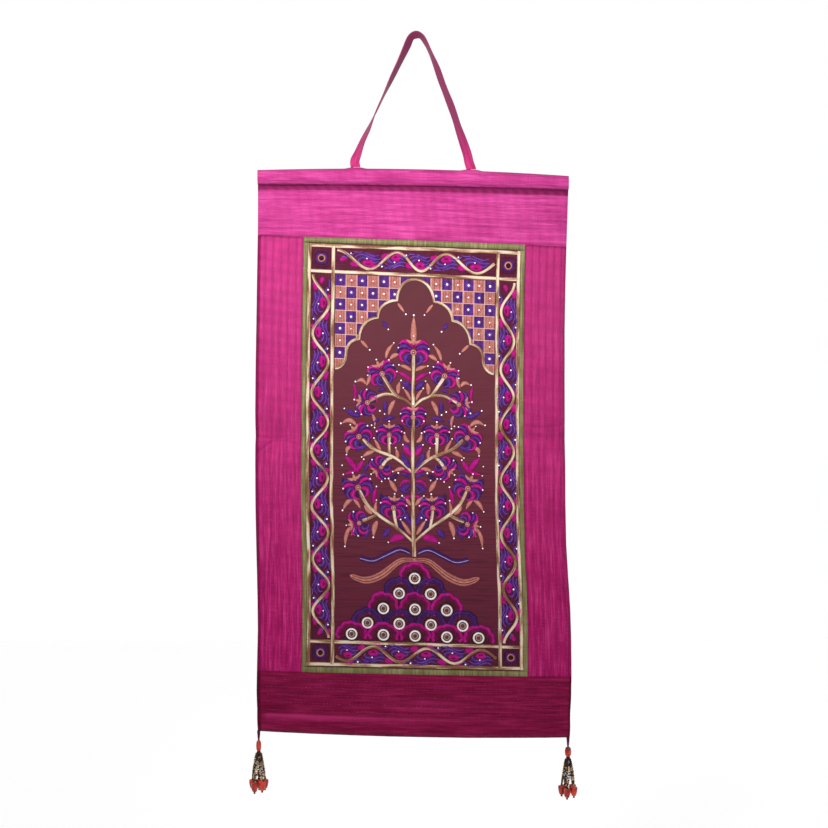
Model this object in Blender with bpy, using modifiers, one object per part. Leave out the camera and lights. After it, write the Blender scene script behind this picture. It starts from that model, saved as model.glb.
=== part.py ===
"""Embroidered silk wall hanging: a strap, quilted bands round an embroidered panel, and two beaded tassels.

Metres, +Z up, +X to the viewer's right, and the front faces -Y. The origin is where the strap bears on its hook.
Everything on the cloth is drawn flat first, as (across, depth, height), and hang() then gives it the hung shape.
"""
import math

import bmesh
import bpy
from mathutils import Matrix, Vector

# Driving sizes
SEAM_GAP = 0.0003
CLOTH_THICK = 0.002
CLOTH_HALF = 0.2285
WALL_DEPTH = 0.0065

SLEEVE_TOP = -0.2014
TOP_CREASE = -0.2225
TOP_SEAM = -0.3016
BOTTOM_SEAM = -0.9379
BOTTOM_CREASE = -0.9996
SLEEVE_BOTTOM = -1.0264
SLEEVE_MIDDLE = -0.0030
SLEEVE_HALF_DEPTH = 0.0065
SLEEVE_BACK = WALL_DEPTH - 0.0030
BACK_ROUNDING = (0.0022, 0.0016)
BACK_FLAT = 0.0055
BACK_TURN = (0.0006, 0.0015)
BACK_HOLLOW = 0.0060
TOP_ROLL = 0.0106
BOTTOM_ROLL = 0.0120
NOTCH_HALF = 0.00125
NOTCH_DEPTH = 0.0012
CREASE_MARGIN = 0.0040
FOLD_START = 0.0066
# The fold over the bottom sleeve: depths, and heights from its crease
FOLD_RIDGE = ((-0.0010, 0.0010), (-0.0042, -0.0022))

QUILT_PITCH = 0.0112
QUILT_RISE = 0.0006

PANEL_SHIFT = 0.001
PANEL_HALF = 0.1563
BORDER_WIDTH = 0.0078

BRAID_WIDTH = 0.0055
BRAID_THICK = 0.0011
BRAID_OUTER = 0.1549
BRAID_INNER = 0.1219
INNER_SHIFT = 0.0019
FRAME_TOP = -0.3138
FRAME_INNER_TOP = -0.3518
FRAME_INNER_BOTTOM = -0.8933
FRAME_BOTTOM = -0.9257
VINE_WIDTH = 0.0046

STRAP_WIDTH = 0.0138
STRAP_THICK = 0.0018

RING_RADIUS = 0.0084
ROSETTE_RADIUS = 0.0062
RING_INSETS = (0.16, 0.24)

# Each foot of the strap pulls the sleeve's top up over a flat stretch of this half width
STRAP_FEET = (-0.0865, 0.0838)
STRAP_PULL = 0.0018
STRAP_PULL_FLAT = 0.0090
STRAP_PULL_EDGE = 0.0120
STRAP_FORWARD = 0.0015

# The hung shape, row by row. Each row's flat height, the depth of its front face, its left and right edges,
# the kick of its right edge towards the viewer, its drop from left to right, its bow up in the middle, and how
# far its middle has slipped to the right
HANG_ROWS = (
    (-0.2014, 0.0030, -0.2337, 0.2237, 0.0000, 0.0088, 0.0058, 0.0020),
    (-0.2225, 0.0030, -0.2335, 0.2236, 0.0000, 0.0078, 0.0020, 0.0022),
    (-0.2350, 0.0008, -0.2332, 0.2228, 0.0000, 0.0094, 0.0016, 0.0024),
    (-0.2600, -0.0012, -0.2330, 0.2218, 0.0002, 0.0124, 0.0013, 0.0028),
    (-0.3016, -0.0024, -0.2332, 0.2203, 0.0004, 0.0163, 0.0010, 0.0034),
    (-0.3500, -0.0034, -0.2340, 0.2188, 0.0002, 0.0196, 0.0004, 0.0035),
    (-0.4200, -0.0040, -0.2350, 0.2177, 0.0006, 0.0198, 0.0000, 0.0037),
    (-0.4800, -0.0043, -0.2360, 0.2176, 0.0004, 0.0196, 0.0000, 0.0037),
    (-0.5150, -0.0043, -0.2364, 0.2176, 0.0002, 0.0130, 0.0000, 0.0037),
    (-0.5550, -0.0046, -0.2368, 0.2177, -0.0006, 0.0074, 0.0000, 0.0036),
    (-0.5760, -0.0034, -0.2366, 0.2177, 0.0000, 0.0060, 0.0000, 0.0034),
    (-0.5900, -0.0014, -0.2362, 0.2178, 0.0008, 0.0052, 0.0000, 0.0032),
    (-0.6050, -0.0030, -0.2367, 0.2181, 0.0002, 0.0048, 0.0000, 0.0030),
    (-0.6300, -0.0045, -0.2368, 0.2184, -0.0006, 0.0046, 0.0000, 0.0028),
    (-0.6900, -0.0046, -0.2365, 0.2187, -0.0010, 0.0044, 0.0000, 0.0029),
    (-0.7450, -0.0044, -0.2355, 0.2199, -0.0014, 0.0064, 0.0000, 0.0028),
    (-0.7900, -0.0040, -0.2345, 0.2228, 0.0004, 0.0100, 0.0000, 0.0022),
    (-0.8350, -0.0026, -0.2336, 0.2262, 0.0032, 0.0136, 0.0000, 0.0006),
    (-0.8800, -0.0010, -0.2333, 0.2278, 0.0040, 0.0158, -0.0006, -0.0002),
    (-0.9379, 0.0010, -0.2348, 0.2283, 0.0034, 0.0094, -0.0010, -0.0004),
    (-0.9700, 0.0024, -0.2354, 0.2277, 0.0016, 0.0090, -0.0022, -0.0002),
    (-0.9940, 0.0030, -0.2345, 0.2262, 0.0000, 0.0090, -0.0032, 0.0000),
    (-1.0264, 0.0030, -0.2330, 0.2250, 0.0000, 0.0095, -0.0042, 0.0000),
)
KICK_START = 0.1660

# The strap's middle line from the left foot to the right one: across, height, and the turn of its face in degrees
STRAP_ROWS = (
    (-0.0915, -0.1925, 180.0),
    (-0.0905, -0.1840, 166.0),
    (-0.0864, -0.1730, 146.0),
    (-0.0792, -0.1545, 123.0),
    (-0.0704, -0.1365, 110.0),
    (-0.0627, -0.1190, 99.0),
    (-0.0547, -0.1015, 88.0),
    (-0.0466, -0.0840, 81.0),
    (-0.0383, -0.0665, 75.0),
    (-0.0298, -0.0490, 66.0),
    (-0.0212, -0.0310, 57.0),
    (-0.0136, -0.0145, 52.0),
    (-0.0096, -0.0050, 51.0),
    (-0.0066, -0.0010, 51.0),
    (-0.0024, 0.0012, 52.0),
    (0.0024, 0.0014, 56.0),
    (0.0068, -0.0006, 64.0),
    (0.0104, -0.0048, 71.0),
    (0.0160, -0.0150, 73.0),
    (0.0232, -0.0310, 69.0),
    (0.0305, -0.0490, 62.0),
    (0.0365, -0.0665, 56.0),
    (0.0432, -0.0840, 54.0),
    (0.0500, -0.1015, 54.0),
    (0.0562, -0.1190, 53.0),
    (0.0617, -0.1365, 47.0),
    (0.0680, -0.1545, 38.0),
    (0.0743, -0.1735, 24.0),
    (0.0772, -0.1860, 10.0),
    (0.0790, -0.1960, 0.0),
)

# The niche from its foot to its peak, as half widths and heights: its foot, its waist and its cusps
ARCH_FOOT = (0.1173, -0.4925)
ARCH_CUSPS = ((0.1012, -0.4700), (0.0825, -0.4492), (0.0556, -0.4163), (0.0272, -0.3900), (0.0, -0.3578))

# The vines: their waves, the half turns that they start at, and how far their waves have drifted along, as a share
# of the vine's length, in this many half turns
VINE_ROWS = (
    ("vine_top", 2.775, 0.0, 0.025, 2),
    ("vine_bottom", 2.97, 0.62, 0.0, 1),
    ("vine_left", 6.5, 0.0, 0.0163, 1),
    ("vine_right", 6.5, 0.0, 0.0163, 1),
)

# The right half of the tree's braid: each limb's points from its root outwards, as (across, height)
TRUNK_FOOT = -0.7650
TRUNK_TOP = -0.4680
TRUNK_WIDTH = 0.0062
TRUNK_TAPER = 0.0012
LIMB_WIDTH = 0.0048
LIMBS = (
    ((0.0000, -0.5450), (0.0120, -0.5350), (0.0260, -0.5285), (0.0380, -0.5120), (0.0450, -0.5010)),
    ((0.0230, -0.5300), (0.0400, -0.5275), (0.0540, -0.5320), (0.0650, -0.5380)),
    ((0.0000, -0.6430), (0.0130, -0.6300), (0.0300, -0.6185), (0.0580, -0.6075), (0.0740, -0.5930)),
    ((0.0345, -0.6160), (0.0355, -0.6000), (0.0352, -0.5880)),
    ((0.0290, -0.6190), (0.0380, -0.6235), (0.0450, -0.6320)),
    ((0.0000, -0.7450), (0.0220, -0.7250), (0.0500, -0.7055), (0.0680, -0.6890), (0.0790, -0.6680)),
    ((0.0240, -0.7235), (0.0270, -0.7100), (0.0285, -0.6970)),
    ((0.0530, -0.7035), (0.0640, -0.7090), (0.0750, -0.7130)),
)

# The mirrors on the mound, row by row: how many, and their height
MIRROR_ROWS = ((1, -0.7970), (2, -0.8195), (3, -0.8425), (4, -0.8642), (5, -0.8811))
MIRROR_PITCH = 0.0462

# The tassels: how far across the flat cloth each hangs, the turn of its first strand, and its bead's size
TASSEL_ROWS = (
    ("left", -0.2274, 234.0, 0.0038, 0.0165),
    ("right", 0.2262, 258.0, 0.0048, 0.0152),
)
HANGER_RADIUS = 0.0011
HANGER_LENGTH = 0.0130
BEAD_BORE = 0.0016
BEAD_SIDES = 10
BEAD_END_TURN = 0.12
BEAD_PLAY = 0.0004
KNOT_RADIUS = 0.0034
STRAND_RADIUS = 0.0017
STRAND_LENGTH = 0.0385
STRAND_SPREAD = 0.0095
# A strand's course from the knot to its bell: shares of the spread and of the strand's length
STRAND_COURSE = ((0.36, 0.0), (0.46, 0.10), (0.56, 0.25), (0.73, 0.50), (0.90, 0.78), (1.0, 0.97))
# Each strand, going round: how much longer it hangs than the shortest
STRAND_EXTRAS = (0.0036, 0.0018, 0.0000, 0.0010, 0.0004)
BELL_BORE = 0.0013
BELL_TOP_RADIUS = 0.0053
BELL_HEIGHT = 0.0138
# The thread through a bell, and the stop knot under it
THREAD_RADIUS = 0.0009
STOP_RADIUS = 0.0017
STOP_HEIGHT = 0.0020
STOP_TAPER = 0.0006

# Colours as linear red, green and blue, then roughness and metallic
FINISHES = {
    "rose silk": ((0.72, 0.075, 0.37), 0.45, 0.0),
    "magenta silk": ((0.56, 0.040, 0.20), 0.45, 0.0),
    "plum silk": ((0.17, 0.008, 0.045), 0.45, 0.0),
    "green silk": ((0.23, 0.27, 0.11), 0.55, 0.0),
    "maroon ground": ((0.15, 0.045, 0.055), 0.70, 0.0),
    "gold braid": ((0.62, 0.42, 0.24), 0.40, 0.4),
    "white ring": ((0.80, 0.74, 0.72), 0.55, 0.0),
    "pink ring": ((0.70, 0.30, 0.25), 0.60, 0.0),
    "coral bead": ((0.55, 0.09, 0.06), 0.25, 0.0),
    "seed beads": ((0.10, 0.045, 0.03), 0.35, 0.0),
}


def clear_scene():
    for obj in list(bpy.data.objects):
        bpy.data.objects.remove(obj, do_unlink=True)


def material(name):
    found = bpy.data.materials.get(name)
    if found:
        return found
    colour, roughness, metallic = FINISHES[name]
    made = bpy.data.materials.new(name)
    made.use_nodes = True
    shader = made.node_tree.nodes["Principled BSDF"]
    shader.inputs["Base Color"].default_value = (*colour, 1.0)
    shader.inputs["Roughness"].default_value = roughness
    shader.inputs["Metallic"].default_value = metallic
    return made


def between(rows, at, column):
    """The column's value at this height, on straight lines between the rows."""
    for upper, lower in zip(rows, rows[1:]):
        if at >= lower[0]:
            share = (upper[0] - at) / (upper[0] - lower[0])
            share = min(max(share, 0.0), 1.0)
            return upper[column] + share * (lower[column] - upper[column])
    return rows[-1][column]


def front_depth(across, height):
    kick = max(0.0, (across - KICK_START) / (CLOTH_HALF - KICK_START))
    return between(HANG_ROWS, height, 1) + kick * between(HANG_ROWS, height, 4)


def hang(point):
    """The hung place of a point drawn flat as (across, depth behind the front face, height)."""
    across, depth, height = point
    left = between(HANG_ROWS, height, 2)
    right = between(HANG_ROWS, height, 3)
    drop = between(HANG_ROWS, height, 5)
    bow = between(HANG_ROWS, height, 6)
    slip = between(HANG_ROWS, height, 7)
    share = across / CLOTH_HALF
    x = left + (right - left) * (share + 1) / 2 + slip * (1 - share**4)
    z = height - drop * share / 2 + bow * (1 - share**2)
    if height > TOP_CREASE:
        away = min(abs(across - foot) for foot in STRAP_FEET)
        pull = (STRAP_PULL_EDGE - away) / (STRAP_PULL_EDGE - STRAP_PULL_FLAT)
        z += STRAP_PULL * min(1.0, max(0.0, pull)) * (height - TOP_CREASE) / (SLEEVE_TOP - TOP_CREASE)
    return Vector((x, front_depth(across, height) + depth, z))


def steps(start, end, count):
    return [start + (end - start) * i / count for i in range(count + 1)]


def rows_between(low, high):
    """The heights of a sheet's rows: its two edges and the hung shape's rows between them."""
    inside = [row[0] for row in HANG_ROWS if low + 0.004 < row[0] < high - 0.004]
    return [high, *inside, low]


def add_object(name, bm, finish, parts):
    bmesh.ops.recalc_face_normals(bm, faces=bm.faces[:])
    mesh = bpy.data.meshes.new(name)
    bm.to_mesh(mesh)
    bm.free()
    obj = bpy.data.objects.new(name, mesh)
    parts.objects.link(obj)
    mesh.materials.append(material(finish))
    mesh.shade_smooth()
    mesh.set_sharp_from_angle(angle=math.radians(40))
    return obj


def thicken(bm, thickness):
    """Turns an open flat sheet that faces the viewer into a slab of this thickness behind it."""
    made = bmesh.ops.extrude_face_region(bm, geom=bm.faces[:], use_keep_orig=True)
    moved = [item for item in made["geom"] if isinstance(item, bmesh.types.BMVert)]
    bmesh.ops.translate(bm, verts=moved, vec=(0.0, thickness, 0.0))


def flat_grid(bm, columns, heights):
    """An upright grid with its columns and rows at these places."""
    wide = len(columns)
    upright = Matrix.Rotation(math.radians(90), 4, "X")
    grid = bmesh.ops.create_grid(bm, x_segments=wide - 1, y_segments=len(heights) - 1, size=1.0, matrix=upright)
    rising = sorted(heights)
    for index, vert in enumerate(grid["verts"]):
        vert.co = (columns[index % wide], 0.0, rising[index // wide])


def quilt_columns(low, high):
    """Columns of a quilted sheet: its stitched lines, and the crowns between them."""
    count = 2 * round((high - low) / QUILT_PITCH)
    return steps(low, high, count)


def quilted_band(name, low, high, finish, parts):
    """A side band, whose stitched lines run downwards."""
    bm = bmesh.new()
    columns = quilt_columns(low, high)
    flat_grid(bm, columns, rows_between(BOTTOM_SEAM + SEAM_GAP, TOP_SEAM - SEAM_GAP))
    thicken(bm, CLOTH_THICK)
    for vert in bm.verts:
        line = min(range(len(columns)), key=lambda i: abs(columns[i] - vert.co.x))
        if vert.co.y < CLOTH_THICK / 2 and line % 2 == 0:
            vert.co.y += QUILT_RISE
    for vert in bm.verts:
        vert.co = hang(vert.co)
    return add_object(name, bm, finish, parts)


def plain_sheet(name, columns, top, bottom, finish, parts):
    bm = bmesh.new()
    flat_grid(bm, columns, rows_between(bottom, top))
    thicken(bm, CLOTH_THICK)
    for vert in bm.verts:
        vert.co = hang(vert.co)
    return add_object(name, bm, finish, parts)


def roll_front(centre, half_height, start, end, count):
    """Points down or up the rounded front of a sleeve, as (depth, height)."""
    points = []
    for angle in steps(math.radians(start), math.radians(end), count):
        depth = SLEEVE_MIDDLE - SLEEVE_HALF_DEPTH * math.cos(angle)
        points.append((depth, centre + half_height * math.sin(angle)))
    return points


def sleeve_back(edge, crease, seam):
    """The back of a sleeved band, from the sleeve's outer edge past its crease to the band's seam."""
    inward = 1 if crease > edge else -1
    middle = (crease + seam) / 2
    return [
        (SLEEVE_BACK - BACK_ROUNDING[0], edge + inward * BACK_ROUNDING[1]),
        (SLEEVE_BACK, edge + inward * BACK_FLAT),
        (SLEEVE_BACK, crease - inward * BACK_HOLLOW),
        (SLEEVE_BACK - BACK_TURN[0], crease - inward * BACK_TURN[1]),
        (CLOTH_THICK, crease + inward * CREASE_MARGIN),
        (CLOTH_THICK, middle),
        (CLOTH_THICK, seam),
    ]


def quilted_front(first, last):
    """The front of a quilted band from one height to another: grooves at its stitched lines, crowns between."""
    count = 2 * round(abs(last - first) / QUILT_PITCH)
    rows = steps(first, last, count)
    return [(QUILT_RISE if i % 2 == 0 else 0.0, height) for i, height in enumerate(rows)]


def top_section():
    """The top band's outline from the side: up its front, over the filled sleeve, and down its back."""
    section = quilted_front(TOP_SEAM, TOP_CREASE - CREASE_MARGIN)
    section += [(QUILT_RISE, TOP_CREASE + NOTCH_HALF), (-NOTCH_DEPTH, TOP_CREASE + NOTCH_HALF)]
    section += roll_front(SLEEVE_TOP - TOP_ROLL, TOP_ROLL, -74, 90, 9)
    return section + sleeve_back(SLEEVE_TOP, TOP_CREASE, TOP_SEAM)


def bottom_section():
    """The bottom band's outline from the side: down its front, round the filled sleeve, and up its back."""
    section = quilted_front(BOTTOM_SEAM, BOTTOM_CREASE + FOLD_START)
    section += [(depth, BOTTOM_CREASE + rise) for depth, rise in FOLD_RIDGE]
    section += roll_front(SLEEVE_BOTTOM + BOTTOM_ROLL, BOTTOM_ROLL, 26, -90, 8)
    return section + sleeve_back(SLEEVE_BOTTOM, BOTTOM_CREASE, BOTTOM_SEAM)


def sleeved_band(name, section, finish, parts):
    """A full-width band with its filled sleeve: the side outline, extruded across in steps."""
    bm = bmesh.new()
    columns = steps(-CLOTH_HALF, CLOTH_HALF, 16)
    for foot in STRAP_FEET:
        edges = (-STRAP_PULL_EDGE, -STRAP_PULL_FLAT, STRAP_PULL_FLAT, STRAP_PULL_EDGE)
        columns = [c for c in columns if abs(c - foot) > 2 * STRAP_PULL_EDGE] + [foot + edge for edge in edges]
    columns.sort()
    corners = [bm.verts.new((columns[0], depth, height)) for depth, height in section]
    face = bm.faces.new(corners)
    for before, after in zip(columns, columns[1:]):
        made = bmesh.ops.extrude_face_region(bm, geom=[face, *face.edges, *face.verts])
        moved = [item for item in made["geom"] if isinstance(item, bmesh.types.BMVert)]
        bmesh.ops.translate(bm, verts=moved, vec=(after - before, 0.0, 0.0))
        face = next(item for item in made["geom"] if isinstance(item, bmesh.types.BMFace))
    for vert in bm.verts:
        vert.co = hang(vert.co)
    return add_object(name, bm, finish, parts)


def make_cloth(parts):
    """The four bands, the four strips of green border and the panel, 0.3 mm apart at their seams."""
    sleeved_band("top_band", top_section(), "rose silk", parts)
    sleeved_band("bottom_band", bottom_section(), "plum silk", parts)
    inner = PANEL_HALF + SEAM_GAP
    outer = inner + BORDER_WIDTH
    left_edge = PANEL_SHIFT - outer
    right_edge = PANEL_SHIFT + outer
    quilted_band("left_band", -CLOTH_HALF, left_edge - SEAM_GAP, "magenta silk", parts)
    quilted_band("right_band", right_edge + SEAM_GAP, CLOTH_HALF, "magenta silk", parts)
    across = steps(left_edge, right_edge, 8)
    top = TOP_SEAM - SEAM_GAP
    bottom = BOTTOM_SEAM + SEAM_GAP
    plain_sheet("border_top", across, top, top - BORDER_WIDTH, "green silk", parts)
    plain_sheet("border_bottom", across, bottom + BORDER_WIDTH, bottom, "green silk", parts)
    high = top - BORDER_WIDTH - SEAM_GAP
    low = bottom + BORDER_WIDTH + SEAM_GAP
    plain_sheet("border_left", [left_edge, PANEL_SHIFT - inner], high, low, "green silk", parts)
    plain_sheet("border_right", [PANEL_SHIFT + inner, right_edge], high, low, "green silk", parts)
    panel = steps(PANEL_SHIFT - PANEL_HALF, PANEL_SHIFT + PANEL_HALF, 8)
    plain_sheet("embroidered_panel", panel, high, low, "maroon ground", parts)


def lay_on_panel(bm):
    """Hangs what is sewn on the panel, a seam's gap in front of it."""
    for vert in bm.verts:
        across, depth, height = vert.co
        vert.co = hang((PANEL_SHIFT + across, depth - SEAM_GAP, height))


def make_braid_frame(parts):
    """The braid lattice: two upright pairs and two level pairs, sewn where they cross."""
    half = BRAID_WIDTH / 2
    lines = (-BRAID_OUTER, INNER_SHIFT - BRAID_INNER, INNER_SHIFT + BRAID_INNER, BRAID_OUTER)
    columns = steps(lines[1] + half, lines[2] - half, 8)[1:-1]
    for line in lines:
        columns += [line - half, line + half]
    columns.sort()
    levels = []
    for line in (FRAME_BOTTOM, FRAME_INNER_BOTTOM, FRAME_INNER_TOP, FRAME_TOP):
        levels += [line - half, line + half]
    low, high = FRAME_INNER_BOTTOM + half, FRAME_INNER_TOP - half
    heights = sorted([*levels, *(row[0] for row in HANG_ROWS if low + 0.004 < row[0] < high - 0.004)])
    bm = bmesh.new()
    flat_grid(bm, columns, heights)
    windows = []
    for face in bm.faces:
        middle = face.calc_center_median()
        on_upright = min(abs(middle.x - line) for line in lines) < half
        on_level = min(abs(middle.z - (a + b) / 2) for a, b in zip(levels[::2], levels[1::2])) < half
        if not (on_upright or on_level):
            windows.append(face)
    bmesh.ops.delete(bm, geom=windows, context="FACES")
    thicken(bm, -BRAID_THICK)
    lay_on_panel(bm)
    return add_object("braid_frame", bm, "gold braid", parts)


def strip_mesh(path, widths, thick, sink=0.0):
    """A flat strip that follows a path of (across, height) points, sewn on the panel."""
    bm = bmesh.new()
    flat_grid(bm, [-0.5, 0.5], list(range(len(path))))
    for vert in bm.verts:
        i = round(vert.co.z)
        ahead = Vector(path[min(i + 1, len(path) - 1)]) - Vector(path[max(i - 1, 0)])
        side = Vector((ahead.y, -ahead.x)).normalized() * widths[i] * vert.co.x
        vert.co = (path[i][0] + side.x, sink, path[i][1] + side.y)
    thicken(bm, -thick - sink)
    return bm


def sewn_strip(name, path, width, parts):
    bm = strip_mesh(path, [width] * len(path), BRAID_THICK)
    lay_on_panel(bm)
    return add_object(name, bm, "gold braid", parts)


def wave(row, length, swing):
    """A vine's line as (along, swing) points, from one end of its border to the other."""
    waves, start, drift, drift_turns = row[1:]
    points = []
    for share in steps(0.0, 1.0, round(waves * 12)):
        along = length * (share + drift * math.sin(math.pi * drift_turns * share))
        points.append((along, swing * math.cos(math.pi * (2 * waves * share + start))))
    return points


def make_vines(parts):
    """The four vines, each clear of the braid lines that it runs between."""
    clear = BRAID_WIDTH / 2 + SEAM_GAP
    level_length = 2 * (BRAID_INNER - clear) - VINE_WIDTH
    top = FRAME_INNER_TOP - clear - VINE_WIDTH / 2
    upright_length = top - FRAME_INNER_BOTTOM - clear - VINE_WIDTH / 2
    for row, upper, lower in zip(VINE_ROWS, (FRAME_TOP, FRAME_INNER_BOTTOM), (FRAME_INNER_TOP, FRAME_BOTTOM)):
        swing = (upper - lower) / 2 - clear - VINE_WIDTH / 2 - SEAM_GAP
        start = INNER_SHIFT - level_length / 2
        path = [(start + along, (upper + lower) / 2 + off) for along, off in wave(row, level_length, swing)]
        sewn_strip(row[0], path, VINE_WIDTH, parts)
    for row, side in zip(VINE_ROWS[2:], (-1, 1)):
        inner = BRAID_INNER + side * INNER_SHIFT
        swing = (BRAID_OUTER - inner) / 2 - clear - VINE_WIDTH / 2 - SEAM_GAP
        middle = (BRAID_OUTER + inner) / 2
        path = [(side * (middle + off), top - along) for along, off in wave(row, upright_length, swing)]
        sewn_strip(row[0], path, VINE_WIDTH, parts)


def arch_half():
    """The niche's edge from its foot to its peak: one turned foot, then a quarter oval from cusp to cusp."""
    (x0, z0), (x1, z1) = ARCH_FOOT, ARCH_CUSPS[0]
    points = []
    for turn in steps(0.0, math.pi / 2, 4):
        points.append((x0 + (x1 - x0) * math.sin(turn), z0 + (z1 - z0) * (1 - math.cos(turn))))
    for (x0, z0), (x1, z1) in zip(ARCH_CUSPS, ARCH_CUSPS[1:]):
        for turn in steps(0.0, math.pi / 2, 5)[1:]:
            points.append((x1 + (x0 - x1) * math.cos(turn), z0 + (z1 - z0) * math.sin(turn)))
    return points


def make_arch(parts):
    half = arch_half()
    path = [(INNER_SHIFT - x, z) for x, z in half] + [(INNER_SHIFT + x, z) for x, z in reversed(half[:-1])]
    sewn_strip("arch_braid", path, VINE_WIDTH, parts)


def smooth_line(points, pieces):
    """A smooth curve through the points, with this many pieces between each two."""
    padded = [points[0], *points, points[-1]]
    line = []
    for a, b, c, d in zip(padded, padded[1:], padded[2:], padded[3:]):
        for share in steps(0.0, 1.0, pieces)[:-1]:
            squared, cubed = share**2, share**3
            weights = (
                (-cubed + 2 * squared - share) / 2,
                (3 * cubed - 5 * squared + 2) / 2,
                (-3 * cubed + 4 * squared + share) / 2,
                (cubed - squared) / 2,
            )
            line.append(tuple(sum(w * p[k] for w, p in zip(weights, (a, b, c, d))) for k in (0, 1)))
    return [*line, points[-1]]


def hidden_strip(name, path, widths, thick, sink, helpers):
    """A strip that a Boolean joins to the tree and that isn't a part by itself."""
    bm = strip_mesh(path, widths, thick, sink)
    lay_on_panel(bm)
    obj = add_object(name, bm, "gold braid", helpers)
    obj.hide_render = True
    obj.display_type = "WIRE"
    return obj


def make_tree(parts, helpers):
    """The tree's trunk with its limbs joined on, each a hair thinner than what it grows from."""
    between_ends = [row[0] for row in HANG_ROWS if TRUNK_FOOT < row[0] < TRUNK_TOP]
    trunk = [(0.0, height) for height in sorted([TRUNK_FOOT, *between_ends, TRUNK_TOP])]
    widths = [TRUNK_WIDTH - TRUNK_TAPER * i / len(trunk) for i in range(len(trunk))]
    bm = strip_mesh(trunk, widths, BRAID_THICK + 0.0002)
    lay_on_panel(bm)
    tree = add_object("tree_braid", bm, "gold braid", parts)
    for side in (-1, 1):
        for number, limb in enumerate(LIMBS):
            path = smooth_line([(side * x, z) for x, z in limb], 2)
            forked = limb[0][0] > 0.0
            thick = BRAID_THICK - (0.0002 if forked else 0.0)
            sink = -0.0001 if forked else -0.00005
            name = f"limb_{'right' if side > 0 else 'left'}_{number}"
            joined = hidden_strip(name, path, [LIMB_WIDTH] * len(path), thick, sink, helpers)
            union = tree.modifiers.new(name, "BOOLEAN")
            union.operation = "UNION"
            union.object = joined
    return tree


def turned(name, profile, place, finish, parts):
    """A bead: a closed outline of (radius, height) points, turned about its own axis."""
    mesh = bpy.data.meshes.new(name)
    count = len(profile)
    edges = [(i, (i + 1) % count) for i in range(count)]
    mesh.from_pydata([(radius, 0.0, height) for radius, height in profile], edges, [])
    obj = bpy.data.objects.new(name, mesh)
    parts.objects.link(obj)
    mesh.materials.append(material(finish))
    screw = obj.modifiers.new("turn", "SCREW")
    screw.angle = 2 * math.pi
    screw.steps = screw.render_steps = BEAD_SIDES
    screw.use_merge_vertices = True
    screw.merge_threshold = 0.00001
    screw.use_smooth_shade = True
    obj.matrix_world = Matrix.Translation(place)
    return obj


def disc(name, across, height, radius, rim, centre_rise, finish, parts):
    """A round piece sewn on the panel: a raised thread ring round a flat middle."""
    bm = bmesh.new()
    circle = bmesh.ops.create_circle(
        bm, cap_ends=True, segments=12, radius=radius, matrix=Matrix.Rotation(math.radians(90), 4, "X")
    )
    bmesh.ops.translate(bm, verts=circle["verts"], vec=(across, 0.0, height))
    thicken(bm, -rim)
    front = min(bm.faces, key=lambda face: face.calc_center_median().y)
    for inset in RING_INSETS:
        bmesh.ops.inset_region(bm, faces=[front], thickness=radius * inset)
    bmesh.ops.translate(bm, verts=front.verts, vec=(0.0, rim - centre_rise, 0.0))
    lay_on_panel(bm)
    return add_object(name, bm, finish, parts)


def make_mirrors(parts):
    """Fifteen ringed mirrors on the mound, and a stitched ring in each corner square."""
    number = 0
    for count, height in MIRROR_ROWS:
        for i in range(count):
            number += 1
            across = (i - (count - 1) / 2) * MIRROR_PITCH
            disc(f"mirror_{number:02d}", across, height, RING_RADIUS, 0.0018, 0.0010, "white ring", parts)
    left = (INNER_SHIFT - BRAID_OUTER - BRAID_INNER) / 2
    right = (INNER_SHIFT + BRAID_OUTER + BRAID_INNER) / 2
    upper = (FRAME_TOP + FRAME_INNER_TOP) / 2
    lower = (FRAME_BOTTOM + FRAME_INNER_BOTTOM) / 2
    for name, across, height in (
        ("rosette_top_left", left, upper),
        ("rosette_top_right", right, upper),
        ("rosette_bottom_left", left, lower),
        ("rosette_bottom_right", right, lower),
    ):
        disc(name, across, height, ROSETTE_RADIUS, 0.0016, 0.0008, "pink ring", parts)


def make_strap(parts):
    """The hanging strap: one flat ribbon with half a turn in it, sewn to the top sleeve at both ends."""
    feet = [hang((foot, 0.0, SLEEVE_TOP)) for foot in STRAP_FEET]
    middle = [row[:2] for row in STRAP_ROWS]
    middle[0] = (feet[0].x, feet[0].z + 2 * SEAM_GAP)
    middle[-1] = (feet[1].x, feet[1].z + 2 * SEAM_GAP)
    places = smooth_line(middle, 2)
    turns = [angle for angle, _ in smooth_line([(row[2], 0.0) for row in STRAP_ROWS], 2)]
    bm = bmesh.new()
    flat_grid(bm, [-0.5, 0.0, 0.5], list(range(len(places))))
    for vert in bm.verts:
        i = round(vert.co.z)
        ahead = Vector(places[min(i + 1, len(places) - 1)]) - Vector(places[max(i - 1, 0)])
        if i in (0, len(places) - 1):
            ahead = Vector((0.0, 1.0 if i == 0 else -1.0))
        flat = Vector((ahead.y, 0.0, -ahead.x)).normalized()
        turn = math.radians(turns[i])
        side = flat * math.cos(turn) + Vector((0.0, 1.0, 0.0)) * math.sin(turn)
        depth = -STRAP_FORWARD * math.sin(math.pi * i / (len(places) - 1))
        vert.co = Vector((places[i][0], depth, places[i][1])) + side * STRAP_WIDTH * vert.co.x
    strap = add_object("strap", bm, "magenta silk", parts)
    shell = strap.modifiers.new("thickness", "SOLIDIFY")
    shell.thickness = STRAP_THICK
    shell.offset = 0.0
    return strap


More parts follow.
